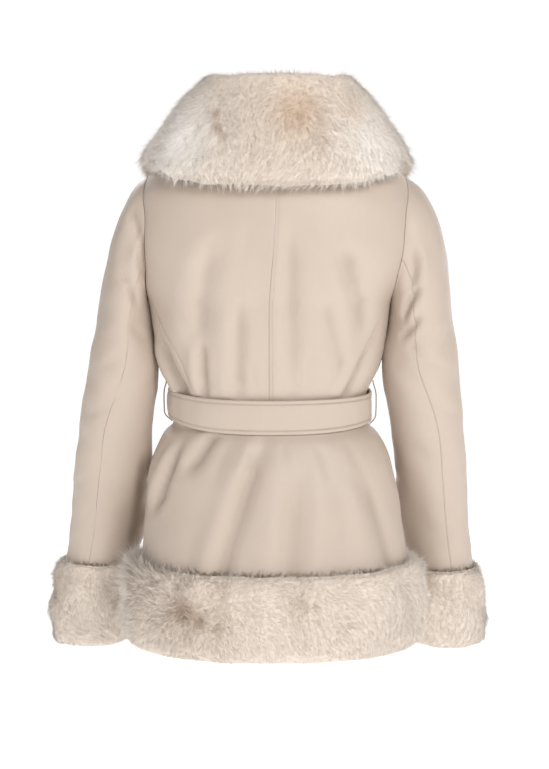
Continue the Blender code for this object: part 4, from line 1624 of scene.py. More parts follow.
class Workroom:
    """Shared forms, finishes and tools, and the making of finished pieces."""

    stitch_pitch = 0.0040
    stitch_length = 0.0040 * 0.76
    stitch_radius = 0.00036

    def __init__(self) -> None:
        """Make the forms, the materials and the node trees."""
        self.body = BodyForm()
        self.leather = LeatherFinish("faux_leather").material()
        self.belt_leather = LeatherFinish("belt_faux_leather").material()
        self.backing = NapFinish(
            name="leather_backing", light=(0.66, 0.55, 0.46), deep=(0.56, 0.46, 0.38), scale=420.0,
            detail=6.0, roughness=0.95, sheen=0.2, strength=0.5, height=0.0006).material()
        self.fur = FurFinish("faux_fur").material()
        self.skin = SkinFinish(
            name="fur_skin", light=(0.840, 0.741, 0.645), deep=(0.715, 0.612, 0.514), scale=170.0,
            detail=5.0, roughness=0.95, sheen=0.25, strength=0.5, height=0.003).material()
        self.thread = NapFinish(
            name="sewing_thread", light=(0.520, 0.430, 0.358), deep=(0.440, 0.358, 0.292), scale=1500.0,
            detail=2.0, roughness=0.7, sheen=0.0, strength=0.4, height=0.0002).material()
        self.fur_maker = FurMaker()
        self.stitch_maker = StitchMaker()

    def piece(self, mesh: Mesh, slot: Slot, nodes: Sequence[str] = ()) -> Object:
        """Make a finished piece of a mesh.

        Args:
            mesh: Its mesh, in place.
            slot: Slot of the record that its finish belongs to; not used.
            nodes: Nodes that it stands for.

        Returns:
            The piece.
        """
        thing = bpy.data.objects.new(mesh.name, mesh)
        bpy.context.scene.collection.objects.link(thing)
        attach(thing, "root")
        if nodes:
            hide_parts(*nodes)
        mesh.calc_loop_triangles()
        LOG.info("%s: %d triangles", mesh.name, len(mesh.loop_triangles))
        return thing

    def stitches(self, name: str, lines: Sequence[Floats]) -> None:
        """Rows of stitches along lines.

        Args:
            name: Name of the piece.
            lines: Points of each line.
        """
        edges = []
        first = 0
        for line in lines:
            edges += [(first + i, first + i + 1) for i in range(len(line) - 1)]
            first += len(line)
        carrier = bpy.data.meshes.new(name + "_lines")
        carrier.from_pydata(np.concatenate(lines).tolist(), edges, [])
        mesh = self.stitch_maker.make(name, carrier, {
            "Pitch": self.stitch_pitch, "Length": self.stitch_length, "Radius": self.stitch_radius,
            "Material": self.thread})
        bpy.data.meshes.remove(carrier)
        self.piece(mesh, Slot.THREAD)


@dataclass(frozen=True)
class Edges:
    """How a panel's four edges are finished: first and last column, first and last row."""

    first: Edge = Edge.HIDDEN
    last: Edge = Edge.HIDDEN
    start: Edge = Edge.HIDDEN
    end: Edge = Edge.HIDDEN

    def spaced(self, width: float, columns: int) -> Floats:
        """Shares of the way across a panel, closer together beside its sewn edges.

        Args:
            width: Width of the panel.
            columns: Columns between the sewn edges.

        Returns:
            Shares from 0 to 1.
        """
        before = self.first.steps[0] / width
        after = 1 - self.last.steps[0][::-1] / width
        between = np.linspace(before[-1], after[0], columns + 1)
        return np.concatenate((before[:-1], between, after[1:]))


class Panel:
    """One cut of faux leather: a thin shell whose edges roll in at the seams."""

    def __init__(self, name: str, points: Floats, core: Floats, edges: Edges) -> None:
        """Sew the edges of the panel.

        Args:
            name: Name of the panel and of its node.
            points: Rows and columns of points on the outer face.
            core: Points inside the form, one for each.
            edges: Finish of the four edges.
        """
        self.name = name
        self.edges = edges
        self.plain = points
        self.normal = grid_normals(points, core)
        across = np.linalg.norm(np.diff(points, axis=1), axis=2)
        along = np.linalg.norm(np.diff(points, axis=0), axis=2)
        self.from_first = np.insert(np.cumsum(across, axis=1), 0, 0.0, axis=1)
        self.from_start = np.insert(np.cumsum(along, axis=0), 0, 0.0, axis=0)
        sink, sewn_shade = self.sewn()
        # Painted shade: darker along the sewn edges and in the troughs of the folds, mixed into the leather's
        # colour by its finish.
        trough = ease((hollows(points, self.normal) + HOLLOW_START) / HOLLOW_DEPTH)
        self.shade = np.maximum(sewn_shade, HOLLOW_SHADE * trough)
        self.outer = points - self.normal * sink[..., None]
        self.inner = points - self.normal * CLOTH

    def sewn(self) -> tuple[Floats, Floats]:
        """Sunk places beside the edges, and the shade painted there.

        Returns:
            How far each point sinks, and how much shade is painted on it.
        """
        sink = np.zeros(self.plain.shape[:2])
        shade = np.zeros(self.plain.shape[:2])
        ways = ((self.edges.first, self.from_first),
                (self.edges.last, self.from_first[:, -1:] - self.from_first),
                (self.edges.start, self.from_start),
                (self.edges.end, self.from_start[-1:] - self.from_start))
        for edge, distance in ways:
            offsets, sinks, shades = edge.steps
            sink = np.maximum(sink, np.interp(distance, offsets, sinks))
            shade = np.maximum(shade, np.interp(distance, offsets, shades))
        return sink, shade

    def stitch_line(self, last: bool) -> Floats:
        """Line of stitches beside the first or last column.

        Args:
            last: Whether the line runs beside the last column.

        Returns:
            One point for each row.
        """
        line = []
        for distance, row in zip(self.from_first, self.outer):
            place = distance[-1] - STITCH_INSET if last else STITCH_INSET
            line.append([np.interp(place, distance, axis) for axis in row.T])
        return np.array(line)

    def mesh(self, leather: Material, backing: Material) -> Mesh:
        """Closed shell of the panel.

        Args:
            leather: Material of the outer face and the edges.
            backing: Material of the inner face.

        Returns:
            The mesh.
        """
        rows, columns = self.outer.shape[:2]
        count = rows * columns
        index = np.arange(count).reshape(rows, columns)
        outer = grid_quads(rows, columns)
        inner = [tuple(i + count for i in face[::-1]) for face in outer]
        border = [*index[0], *index[1:, -1], *index[-1, -2::-1], *index[-2:0:-1, 0]]
        rim = [(int(b), int(a), int(a) + count, int(b) + count)
               for a, b in zip(border, border[1:] + border[:1])]
        faces = outer + inner + rim
        corners = self.outer.reshape(-1, 3)
        turn = np.cross(corners[columns] - corners[0], corners[1] - corners[0])
        if np.dot(turn, self.normal[0, 0]) > 0:
            faces = [face[::-1] for face in faces]
        mesh = mesh_of(self.name + "_leather", np.concatenate((self.outer, self.inner)), faces)
        write_floats(mesh, "shade", np.concatenate((self.shade, np.zeros_like(self.shade))))
        mesh.materials.append(leather)
        mesh.materials.append(backing)
        kinds = np.zeros(len(faces), dtype=np.int32)
        kinds[len(outer):len(outer) + len(inner)] = 1
        mesh.polygons.foreach_set("material_index", kinds)
        return mesh

    def dress(self, work: Workroom, held: Held = Held.HUNG) -> None:
        """Make the panel a finished piece that stands for its node.

        Args:
            work: The workroom.
            held: How the cloth is held; not used.
        """
        piece = work.piece(self.mesh(work.leather, work.backing), Slot.SHELL, [self.name])
        flat, area = cut_of(self.plain)


@dataclass
class PanelPlan:
    """Rows of a panel on the body, from its first edge to its last."""

    body: BodyForm
    edges: Edges
    columns: int
    radius_share: float = 0.8
    angles: list[Floats] = field(default_factory=list)
    levels: list[Floats] = field(default_factory=list)

    def add(self, start: float, end: float, level: float) -> None:
        """Add a row at one level.

        Args:
            start: Angle of its first point.
            end: Angle of its last point.
            level: Its level.
        """
        radius = float(self.body.sections.at("half_width", level)) * self.radius_share
        width = math.radians(abs(end - start)) * radius
        angle = mix(start, end, self.edges.spaced(width, self.columns))
        self.angles.append(angle)
        self.levels.append(np.full(len(angle), level))

    def panel(self, name: str, side: Side, surface: Surface) -> Panel:
        """Panel of these rows on one side of a surface."""
        points = surface(side.value * np.array(self.angles), np.array(self.levels))
        return Panel(side.named(name), points, self.body.core(points), self.edges)


@dataclass
class Bodice:
    """Upper part of the coat: backs, side panels and fronts down to the waist seam."""

    work: Workroom
    columns: int = 34
    side_columns: int = 20
    row_pitch: float = 0.0045
    armhole_step: float = 3.0
    shoulder_rows: int = 9
    underarm_share: float = 0.6

    def __post_init__(self) -> None:
        """Find the levels of the rows from the waist up to the foot of the armhole, and the shoulder's."""
        self.body = self.work.body
        self.lines: list[Floats] = []
        foot = WAIST_LEVEL + SEAM_GAP / 2
        top = float(self.body.armhole_level(SIDE_PANEL_TURN))
        self.levels = np.linspace(foot, top, round((top - foot) / self.row_pitch) + 1)
        self.rises = np.arange(1, self.shoulder_rows + 1) / self.shoulder_rows

    def outer_edge(self, way: int) -> Iterator[tuple[float, float]]:
        """Edge of a back or front along side panel, armhole and shoulder, from the waist up.

        Args:
            way: 1 for a back, -1 for a front.

        Yields:
            Level and angle of each row's end.
        """
        body = self.body
        seam = "back_angle" if way > 0 else "front_angle"
        for level in self.levels:
            angle = float(body.side_seams.at(seam, level))
            if level == self.levels[-1]:
                angle = float(body.armhole_angle(way * SIDE_PANEL_TURN))
            yield level, angle - way * body.half_gap(level)
        step = self.armhole_step
        for turn in way * np.arange(SIDE_PANEL_TURN + step, SHOULDER_TURN + step / 2, step):
            yield float(body.armhole_level(turn)), float(body.armhole_angle(turn))
        for rise in self.rises:
            level = SHOULDER_LEVEL * (1 - rise)
            angle = mix(float(body.armhole_angle(SHOULDER_TURN)), 90.0, rise)
            yield level, angle - way * body.half_gap(level)

    def back(self, side: Side) -> Panel:
        """One half of the back, from the centre back seam to side seam, armhole and shoulder.

        Args:
            side: Side of the wearer.

        Returns:
            The panel.
        """
        sewn = (Edge.FLUSH, Edge.TOPSTITCHED)
        plan = PanelPlan(self.body, Edges(*sewn[::side.value]), self.columns)
        for level, edge in self.outer_edge(1):
            plan.add(side.value * CENTRE_SEAM + self.body.half_gap(level), edge, level)
        for row, rise in enumerate(self.rises, -self.shoulder_rows):
            top = -NECK_DROP * np.cos(np.radians(plan.angles[row])) ** 2
            plan.levels[row] = mix(SHOULDER_LEVEL, top, rise)
        panel = plan.panel("back", side, self.body.cloth)
        self.lines.append(panel.stitch_line(last=True)[:len(self.levels)])
        if side is Side.RIGHT:
            self.lines.append(panel.stitch_line(last=False))
        return panel

    def side(self, side: Side) -> Panel:
        """Side panel below the armhole, between the side-back seam and the front.

        Args:
            side: Side of the wearer.

        Returns:
            The panel.
        """
        body = self.body
        edges = Edges(first=Edge.FLUSH, last=Edge.FLUSH, end=Edge.SEAM)
        plan = PanelPlan(body, edges, self.side_columns)
        for level in self.levels[:-1]:
            gap = body.half_gap(level)
            start = float(body.side_seams.at("back_angle", level)) + gap
            plan.add(start, float(body.side_seams.at("front_angle", level)) - gap, level)
        foot_angle, foot_level = plan.angles[-1], plan.levels[-1]
        share = (foot_angle - foot_angle[0]) / (foot_angle[-1] - foot_angle[0])
        turns = mix(SIDE_PANEL_TURN, -SIDE_PANEL_TURN, share)
        top_angle, top_level = body.armhole_angle(turns), body.armhole_level(turns)
        gap = body.half_gap(float(body.armhole_level(SIDE_PANEL_TURN)))
        squeeze = 1 - 2 * gap / (top_angle[-1] - top_angle[0])
        top_angle = mix((top_angle[0] + top_angle[-1]) / 2, top_angle, squeeze)
        plan.angles += [mix(foot_angle, top_angle, self.underarm_share), top_angle]
        plan.levels += [mix(foot_level, top_level, self.underarm_share), top_level]
        return plan.panel("side", side, body.cloth)

    def front(self, side: Side) -> Panel:
        """One front of the bodice, from side panel, armhole and shoulder to its free edge.

        Args:
            side: Side of the wearer.

        Returns:
            The panel.
        """
        body = self.body
        plan = PanelPlan(body, Edges(first=Edge.TOPSTITCHED, last=Edge.FREE), self.columns)
        for level, start in self.outer_edge(-1):
            plan.add(start, body.front_edge(side, level), level)
        panel = plan.panel("front", side, body.sunk_cloth if side is Side.LEFT else body.cloth)
        self.lines.append(panel.stitch_line(last=False)[:len(self.levels)])
        if side is Side.RIGHT:
            self.lines.append(panel.stitch_line(last=True))
        return panel

    def dress(self) -> None:
        """Build and dress every panel and its topstitching."""
        for side in Side:
            for panel in (self.back(side), self.side(side), self.front(side)):
                panel.dress(self.work)
        self.work.stitches("bodice_topstitching", self.lines)


@dataclass
class Skirt:
    """Lower part of the coat, from the waist seam to the fur hem."""

    work: Workroom
    row_pitch: float = 0.0045
    column_pitch: float = 0.0047
    radius: float = 0.150

    def panel(self, name: str, start: float, end: float, edges: Edges, surface: Surface) -> Panel:
        """Part of the skirt between two angles.

        Args:
            name: Name of the panel.
            start: First angle.
            end: Last angle.
            edges: Finish of its edges.
            surface: Function from angle and level to a point.

        Returns:
            The panel.
        """
        width = math.radians(abs(end - start)) * self.radius
        share = edges.spaced(width, round(width / self.column_pitch))
        top = WAIST_LEVEL - SEAM_GAP / 2
        levels = np.linspace(top, SKIRT_FOOT, round((top - SKIRT_FOOT) / self.row_pitch) + 1)
        points = surface(*together(mix(start, end, share), levels[:, None]))
        return Panel(name, points, self.work.body.core(points), edges)

    def dress(self) -> None:
        """Build and dress the three panels and their topstitching."""
        body = self.work.body
        gap = body.half_gap(SKIRT_FOOT)
        sewn = Edges(first=Edge.TOPSTITCHED, last=Edge.TOPSTITCHED)
        free = Edges(first=Edge.SEAM, last=Edge.FREE)
        back = self.panel("skirt_back", -SKIRT_SEAM + gap, SKIRT_SEAM - gap, sewn, body.cloth)
        left = self.panel("skirt_front_left", SKIRT_SEAM + gap, UNDERLAP_EDGE, free, body.sunk_cloth)
        right = self.panel("skirt_front_right", -SKIRT_SEAM - gap, -LAP_EDGE, free, body.cloth)
        for panel in (back, left, right):
            panel.dress(self.work)
        self.work.stitches("skirt_topstitching", [
            back.stitch_line(last=False), back.stitch_line(last=True), right.stitch_line(last=True)])


@dataclass
class Sleeve:
    """Two-piece sleeve with a seam down the back of the arm and one in front."""

    work: Workroom
    form: SleeveForm
    column_pitch: float = 0.0048
    row_pitch: float = 0.0048
    cap_shares: tuple[float, ...] = (0.0, 0.004, 0.010, 0.020, 0.034)
    cap_rows: int = 26
    # Painted shade on the left sleeve: beside the armhole (gap) and where it brushes the skirt (brush).
    gap_top: float = -0.108
    gap_foot: float = -0.188
    gap_soft: float = 0.02
    gap_width: float = 0.0080
    gap_shade: float = 1.8
    brush_turn: float = 4.0
    brush_top: float = -0.405
    brush_foot: float = -0.575
    brush_soft: float = 0.04
    brush_width: float = 0.009
    brush_shade: float = 1.5

    def strip(self, name: str, first: float, last: float, edges: Edges) -> Panel:
        """Strip of the sleeve between two seams.

        Args:
            name: Name of the panel.
            first: Turn of its first seam.
            last: Turn of its last seam.
            edges: Finish of its edges.

        Returns:
            The panel.
        """
        gap = math.degrees(SEAM_GAP / 2 / SLEEVE_RADIUS)
        width = math.radians(last - first) * SLEEVE_RADIUS
        turns = mix(first + gap, last - gap, edges.spaced(width, round(width / self.column_pitch)))
        even = np.linspace(self.cap_shares[-1], 1.0, self.cap_rows + 1)[1:-1]
        levels = np.linspace(CAP_FOOT, SLEEVE_FOOT, round((CAP_FOOT - SLEEVE_FOOT) / self.row_pitch) + 1)
        points = self.form.grid(turns, np.concatenate((self.cap_shares, even)), levels)
        panel = Panel(self.form.side.named(name), points, self.form.core(points), edges)
        # Painted shade, on the left sleeve only.
        if self.form.side is Side.LEFT:
            panel.shade = np.max((panel.shade, *self.shadows(panel, turns)), axis=0)
        return panel

    def shadows(self, panel: Panel, turns: Floats) -> tuple[Floats, Floats]:
        """Shade where the sleeve lies close to the armhole and where it brushes the skirt.

        Args:
            panel: Strip of the sleeve.
            turns: Turns of its columns.

        Returns:
            Both shades at each point.
        """
        height = panel.plain[..., 2]
        near = np.exp(-(panel.from_start / self.gap_width) ** 2)
        gap = self.gap_shade * window(height, self.gap_top, self.gap_foot, self.gap_soft) * near
        near = np.exp(-(np.radians(turned(turns, self.brush_turn)) * SLEEVE_RADIUS / self.brush_width) ** 2)
        brush = self.brush_shade * window(height, self.brush_top, self.brush_foot, self.brush_soft) * near
        return gap, brush

    def dress(self) -> None:
        """Build and dress both strips."""
        left = self.form.side is Side.LEFT
        armhole = Edge.SEAM if left else Edge.HIDDEN
        back = Edge.HIDDEN if left else Edge.FLUSH
        upper = self.strip("sleeve_upper", SLEEVE_BACK_SEAM, SLEEVE_FRONT_SEAM,
                           Edges(first=back, last=Edge.FLUSH, start=armhole))
        under = self.strip("sleeve_under", SLEEVE_FRONT_SEAM, SLEEVE_BACK_SEAM + 360.0,
                           Edges(first=Edge.FLUSH, last=back, start=armhole))
        for panel in (upper, under):
            panel.dress(self.work)


class Parting(NamedTuple):
    """Place where the fur parts: its middle, how wide, how strongly it parts, and how much shade is painted
    at its middle.
    """

    middle: Point
    radius: float
    strength: float
    depth: float


class Spot(NamedTuple):
    """Place where the fur is warmer in colour, brightened with painted light, ruffled or longer."""

    middle: Point
    radius: float
    strength: float

    def at(self, points: Floats) -> Floats:
        """Strength at each point."""
        far = np.linalg.norm(points - np.array(self.middle), axis=-1)
        return self.strength * np.exp(-(far / self.radius) ** 2)


def strongest(spots: Sequence[Spot], points: Floats) -> Floats:
    """Strength of the strongest spot at each point."""
    return np.max([np.zeros(points.shape[:2])] + [spot.at(points) for spot in spots], axis=0)


# Partings and ruffled spots of the fur, which also darken it with painted shade; a parting's last column is
# its painted shade.
HEM_PARTED = (0.118, 0.154, -0.608)
HEM_PARTINGS = tuple(starmap(Parting, (
    (HEM_PARTED, 0.220, 2.2, 0),
    (HEM_PARTED, 0.028, 2.2, 1.3),
    ((0.098, 0.164, -0.620), 0.020, 1.2, 1.1),
    ((0.074, 0.170, -0.629), 0.017, 1.2, 0.8),
    ((0.134, 0.144, -0.622), 0.016, 1.2, 0.8),
    ((-0.037, 0.168, -0.593), 0.016, 1.4, 0.5),
)))
HEM_RUFFLED = tuple(starmap(Spot, (
    (HEM_PARTED, 0.060, 1.5),
    ((0.172, 0.112, -0.585), 0.050, 1.2),
    ((0.080, 0.168, -0.628), 0.040, 1.0),
    ((-0.037, 0.168, -0.593), 0.024, 0.9),
    ((-0.090, 0.160, -0.640), 0.030, 0.4),
)))
HEM_LEFT_RUFFLED = (Spot((0.090, -0.150, -0.620), 0.050, 0.7),)
HEM_RIGHT_RUFFLED = (Spot((-0.070, -0.150, -0.620), 0.050, 0.7),)
HEM_LONGER = (Spot((0.196, 0.062, -0.556), 0.055, 2.2),)
COLLAR_PARTINGS = tuple(starmap(Parting, (
    ((-0.030, 0.114, 0.052), 0.070, 1.5, 0),
    ((-0.034, 0.114, 0.043), 0.018, 1.5, 0.45),
    ((0.076, 0.096, 0.041), 0.017, 1.4, 1.3),
    ((0.073, 0.105, 0.026), 0.016, 1.4, 1.3),
    ((0.067, 0.114, 0.011), 0.015, 1.4, 1.1),
    ((-0.062, 0.119, 0.008), 0.020, 1.4, 0.7),
)))
COLLAR_RUFFLED = tuple(starmap(Spot, (
    ((-0.034, 0.114, 0.045), 0.045, 0.8),
    ((0.045, 0.110, 0.035), 0.055, 0.7),
    ((-0.062, 0.119, 0.005), 0.032, 0.8),
    ((0.095, 0.112, -0.030), 0.040, 0.6),
)))
COLLAR_WARM = (Spot((-0.034, 0.116, 0.046), 0.036, 1.0), Spot((-0.099, 0.085, 0.048), 0.024, 0.6))
# Painted light at both ends of the collar, where the lamps leave the fur dim.
COLLAR_PAINTED_LIGHT = (Spot((0.130, 0.085, 0.005), 0.060, 0.9), Spot((-0.130, 0.085, 0.000), 0.055, 0.6))


class Growth(NamedTuple):
    """How fur grows round a section, or at each point: its inset, thickness, length, lie and flow."""

    inset: Floats
    grow: Floats
    reach: Floats
    lay: Floats
    flow: Floats


@dataclass
class FurTrim:
    """Strip of fur cloth: a closed skin inside the pile's reach, and the hair that grows on it."""

    work: Workroom
    name: str
    rings: Floats
    growth: Growth
    closed: bool
    swirl: Ripple
    swirl_turn: float
    comb_sign: float = 1.0
    partings: tuple[Parting, ...] = ()
    # Share of a parting's radius that is darkened with painted shade.
    parted_share: float = 0.45
    warm: tuple[Spot, ...] = ()
    # The ruffled spots also paint shade into the fur's colour, and the pale spots paint light into it.
    ruffled: tuple[Spot, ...] = ()
    pale: tuple[Spot, ...] = ()
    longer: tuple[Spot, ...] = ()
    lump_height: float = 0.0018
    edge_columns: tuple[int, int] = (0, 0)
    front_column: int = 28
    front_share: float = 1.6
    front_wrap: float = 1.3
    depth_share: float = 2.2
    own_share: float = 0.14
    tuft_share: float = 0.60

    def __post_init__(self) -> None:
        """Place the skin and comb the fur."""
        rings = self.rings
        self.growth = Growth(*(np.broadcast_to(row, rings.shape[:2]) for row in self.growth))
        wide = np.concatenate((rings[-1:], rings, rings[:1])) if self.closed else rings
        self.normal = grid_normals(wide, wide.mean(axis=1, keepdims=True), wrap=True)
        if self.closed:
            self.normal = self.normal[1:-1]
        inset = self.growth.inset
        free = np.clip(np.abs(inset) / inset.max(), 0.0, 1.0)
        lumps = Ripple(seed=83, longest=0.060, shortest=0.022).at(rings) * self.lump_height * free
        self.points = rings - self.normal * (inset - lumps)[..., None]
        self.comb = self.combed()

    def combed(self) -> Floats:
        """Direction in which the fur lies at each point of the skin.

        Returns:
            One direction for each point.
        """
        points, normal = self.points, self.normal
        along = np.roll(points, -1, axis=1) - np.roll(points, 1, axis=1)
        along = unit(along) * self.comb_sign
        aside = np.cross(normal, along)
        turn = (self.swirl.at(points) * self.swirl_turn)[..., None]
        comb = (along * np.cos(turn) + aside * np.sin(turn)) * self.growth.lay[..., None]
        for parting in self.partings:
            away = points - np.array(parting.middle)
            far = np.linalg.norm(away, axis=-1, keepdims=True)
            share = parting.strength * np.exp(-(far / parting.radius) ** 2) * self.growth.flow[..., None]
            comb = comb + unit(away) * share
        comb = comb - normal * np.sum(comb * normal, axis=-1, keepdims=True)
        first, stop = self.edge_columns
        comb[:, first:stop] = comb[:, stop][:, None]
        return comb / np.maximum(np.linalg.norm(comb, axis=-1, keepdims=True), 1.0)

    def shine(self) -> Floats:
        """Way out by which the hair is shaded: that of the skin, turned to the side that shows.

        Returns:
            One direction for each point.
        """
        front = self.normal[:, self.front_column][:, None]
        agree = np.clip(np.sum(self.normal * front, axis=-1, keepdims=True) + self.front_wrap, 0.0, 1.0)
        return unit(self.normal * np.array((1.0, self.depth_share, 1.0)) + front * agree * self.front_share)

    def skin(self) -> Mesh:
        """Mesh of the skin with the attributes that the hair follows.

        Returns:
            The mesh.
        """
        points = self.points
        mesh = mesh_of(self.name + "_backing", points, tube_faces(points, self.closed))
        parted = [Spot(item.middle, self.parted_share * item.radius, item.depth) for item in self.partings]
        write_vectors(mesh, "comb", self.comb)
        write_vectors(mesh, "shine", self.shine())
        write_floats(mesh, "grow", self.growth.grow)
        write_floats(mesh, "reach", self.growth.reach * (1 + strongest(self.longer, points)))
        # Spots of painted shade where the fur parts and where it is ruffled, spots of painted light, and the
        # warm spots of the fur's own tint.
        spots = {"parted": parted, "warm": self.warm, "ruffled": self.ruffled, "pale": self.pale}
        for name, places in spots.items():
            write_floats(mesh, name, strongest(places, points))
        mesh.materials.append(self.work.skin)
        return mesh

    def hair(self, skin: Mesh, look: FurLook) -> Object:
        """One layer of hair, shaded like the skin and like the round tufts that it forms.

        Args:
            skin: Mesh that it grows on.
            look: How it grows.

        Returns:
            The piece.
        """
        mesh = self.work.fur_maker.make(f"{self.name}_{look.layer}", skin, look.values(self.work.fur))
        own, shine, side = (np.empty(len(mesh.vertices) * 3, dtype=np.float32) for _ in range(3))
        mesh.vertex_normals.foreach_get("vector", own)
        mesh.attributes["shine"].data.foreach_get("vector", shine)
        mesh.attributes["tuft_side"].data.foreach_get("vector", side)
        soft = shine + own * self.own_share + side * self.tuft_share
        mesh.normals_split_custom_set_from_vertices(unit(soft.reshape(-1, 3).astype(float)).tolist())
        return self.work.piece(mesh, Slot.FUR)

    def dress(self) -> None:
        """Build and dress the skin and its hair."""
        skin = self.skin()
        hairs = [self.hair(skin, look) for look in (LONG_HAIR, SHORT_HAIR)]
        self.declare(self.work.piece(skin, Slot.FUR, [self.name]), hairs)

    def declare(self, piece: Object, hairs: Sequence[Object]) -> None:
        """Measure the flat cut of the skin where the fur grows.

        Args:
            piece: Piece of the skin; not used.
            hairs: Pieces of the hair; not used.
        """
        grid = self.points[:, self.growth.grow.max(axis=0) > 0.5]
        if self.closed:
            grid = np.concatenate((grid, grid[:1]))
        (width, length), area = cut_of(grid)


class PaddedTrim(FurTrim):
    """Fur cloth folded over an interlining, as a collar is."""

    def declare(self, piece: Object, hairs: Sequence[Object]) -> None:
        """Take no measure of a padded skin."""


def splined(before: Floats, start: Floats, end: Floats, beyond: Floats, steps: int) -> Floats:
    """Points on smooth curves from each start to its end.

    Args:
        before: Point before each start.
        start: First point of each stretch.
        end: Last point of each stretch.
        beyond: Point after each end.
        steps: How many points each stretch becomes.

    Returns:
        The points of all stretches, without the last end.
    """
    return np.stack([0.5 * (2 * start + (end - before) * t
                            + (2 * before - 5 * start + 4 * end - beyond) * t * t
                            + (3 * start - before - 3 * end + beyond) * t ** 3)
                     for t in np.arange(steps) / steps], axis=1).reshape(-1, 3)


def refined_loop(points: Floats, steps: int) -> Floats:
    """Closed loop through points with more points on a smooth curve between them."""
    before, after, beyond = (np.roll(points, shift, axis=0) for shift in (1, -1, -2))
    return splined(before, points, after, beyond, steps)


def refined_row(values: Sequence[float], steps: int) -> Floats:
    """Closed row of numbers with more numbers between them."""
    places = np.arange(len(values) * steps) / steps
    return np.interp(places, np.arange(len(values) + 1), [*values, values[0]])


@dataclass
class FurBand:
    """Fur band: a section of inner wall, lip over the cloth and rounded pile, carried round a form."""

    foot: float
    top: float
    seam: float
    pile: float
    hair_share: float = 1.0
    steps: int = 4
    lip_out: float = 0.0008
    lip_width: float = 0.0022
    lip_drop: float = 0.006
    foot_tuck: float = 0.005
    inset_share: float = 0.29

    def rings(self, point: Callable[[float, float, float], Floats], places: Floats) -> Floats:
        """Closed section at each place round a form.

        Args:
            point: Function from a place, a level and a distance out to a point.
            places: The places.

        Returns:
            One ring of points for each place.
        """
        lip = self.lip_out
        section = [(self.seam, -CLOTH), (self.seam, lip), (self.top - self.lip_drop, lip),
                   (self.top - self.lip_drop / 3, lip + self.lip_width)]
        section += [(mix(self.foot, self.top, row.height), self.pile * row.reach) for row in PILE_ROWS]
        section.append((self.foot + self.foot_tuck, -CLOTH))
        return np.array([refined_loop(np.array([point(place, *step) for step in section]), self.steps)
                         for place in places])

    def growth(self) -> Growth:
        """How the fur grows round the section.

        Returns:
            The growth at each point of the section.
        """
        inset = [0, 0, 0, 0, 0.6, 1, 1, 1, 1, 0.9, 0.4, 0]
        deep = self.pile * self.inset_share
        rows = Growth(
            inset=[deep * share for share in inset],
            grow=[0, 0, 1.2, 2.8, 1.8, 1.4, 1.1, 1, 1, 1, 0.9, 0.15],
            reach=[0.5, 0.5, 0.55, 0.9, 0.95, 1, 1, 1, 1, 0.9, 0.7, 0.5],
            lay=[0, 0, -0.2, -0.2, -0.45, -0.3, 0.4, 0.8, 1, 1, 0.8, 0.5],
            flow=[0, 0, 0, 0, 0.15, 0.6, 1, 1, 1, 1, 1, 0.5])
        made = Growth(*(refined_row(row, self.steps) for row in rows))
        return made._replace(reach=made.reach * self.hair_share)


@dataclass
class HemBand:
    """Fur band along the hem, in three lengths like the skirt."""

    work: Workroom
    pile: float = 0.0265
    rise: float = 0.020
    station_pitch: float = 0.0065
    radius: float = 0.175

    def trim(self, name: str, start: float, end: float, ruffled: tuple[Spot, ...],
             partings: tuple[Parting, ...] = ()) -> None:
        """Build and dress one length of the band.

        Args:
            name: Name of its node.
            start: First angle.
            end: Last angle.
            ruffled: Places where the fur is ruffled and darkened with painted shade.
            partings: Places where it parts, darkened there with painted shade.
        """
        band = FurBand(HEM_FOOT, SKIRT_FOOT + self.rise, SKIRT_FOOT - SEAM_GAP, self.pile)
        stations = round(math.radians(abs(end - start)) * self.radius / self.station_pitch)
        rings = band.rings(self.work.body.cloth_out, np.linspace(start, end, stations + 1))
        FurTrim(self.work, name, rings, band.growth(), closed=False,
                swirl=Ripple(seed=41, longest=0.30, shortest=0.06), swirl_turn=0.75, partings=partings,
                ruffled=ruffled, longer=HEM_LONGER).dress()

    def dress(self) -> None:
        """Build and dress the three lengths."""
        gap = self.work.body.half_gap(SKIRT_FOOT)
        seam = SKIRT_SEAM
        self.trim("hem_back", -seam + gap, seam - gap, HEM_RUFFLED, HEM_PARTINGS)
        self.trim("hem_left", seam + gap, 360.0 - LAP_EDGE - 2 * gap, HEM_LEFT_RUFFLED)
        self.trim("hem_right", -seam - gap, -LAP_EDGE, HEM_RIGHT_RUFFLED)


@dataclass
class Cuff:
    """Fur cuff round the foot of a sleeve, parted at its back and ruffled there and outside."""

    work: Workroom
    form: SleeveForm
    foot: float
    lip: float
    # Painted shade at the parting at the back, and how ruffled the fur is there, which also paints shade.
    parted: float
    ruffled: float
    pile: float = 0.0170
    stations: int = 60
    back_turn: float = 150.0
    back_level: float = -0.632
    back_share: float = 0.7
    back_radius: float = 0.032
    part_radius: float = 0.020
    part_strength: float = 1.6
    outer_turn: float = 250.0
    outer_level: float = -0.650
    outer_radius: float = 0.030
    outer_ruffled: float = 0.3
    hair_share: float = 0.9

    def dress(self) -> None:
        """Build and dress the cuff."""
        form = self.form
        band = FurBand(self.foot, SLEEVE_FOOT + self.lip, SLEEVE_FOOT - SEAM_GAP, self.pile,
                       self.hair_share)
        rings = band.rings(form.ring, np.arange(self.stations) * 360.0 / self.stations)
        back = tuple(form.ring(self.back_turn, self.back_level, self.pile * self.back_share))
        outside = tuple(form.ring(self.outer_turn, self.outer_level, self.pile))
        FurTrim(self.work, form.side.named("cuff"), rings, band.growth(), closed=True,
                swirl=Ripple(seed=53 + form.side.value, longest=0.16, shortest=0.05), swirl_turn=0.8,
                partings=(Parting(back, self.part_radius, self.part_strength, self.parted),),
                ruffled=(Spot(back, self.back_radius, self.ruffled),
                         Spot(outside, self.outer_radius, self.outer_ruffled))).dress()


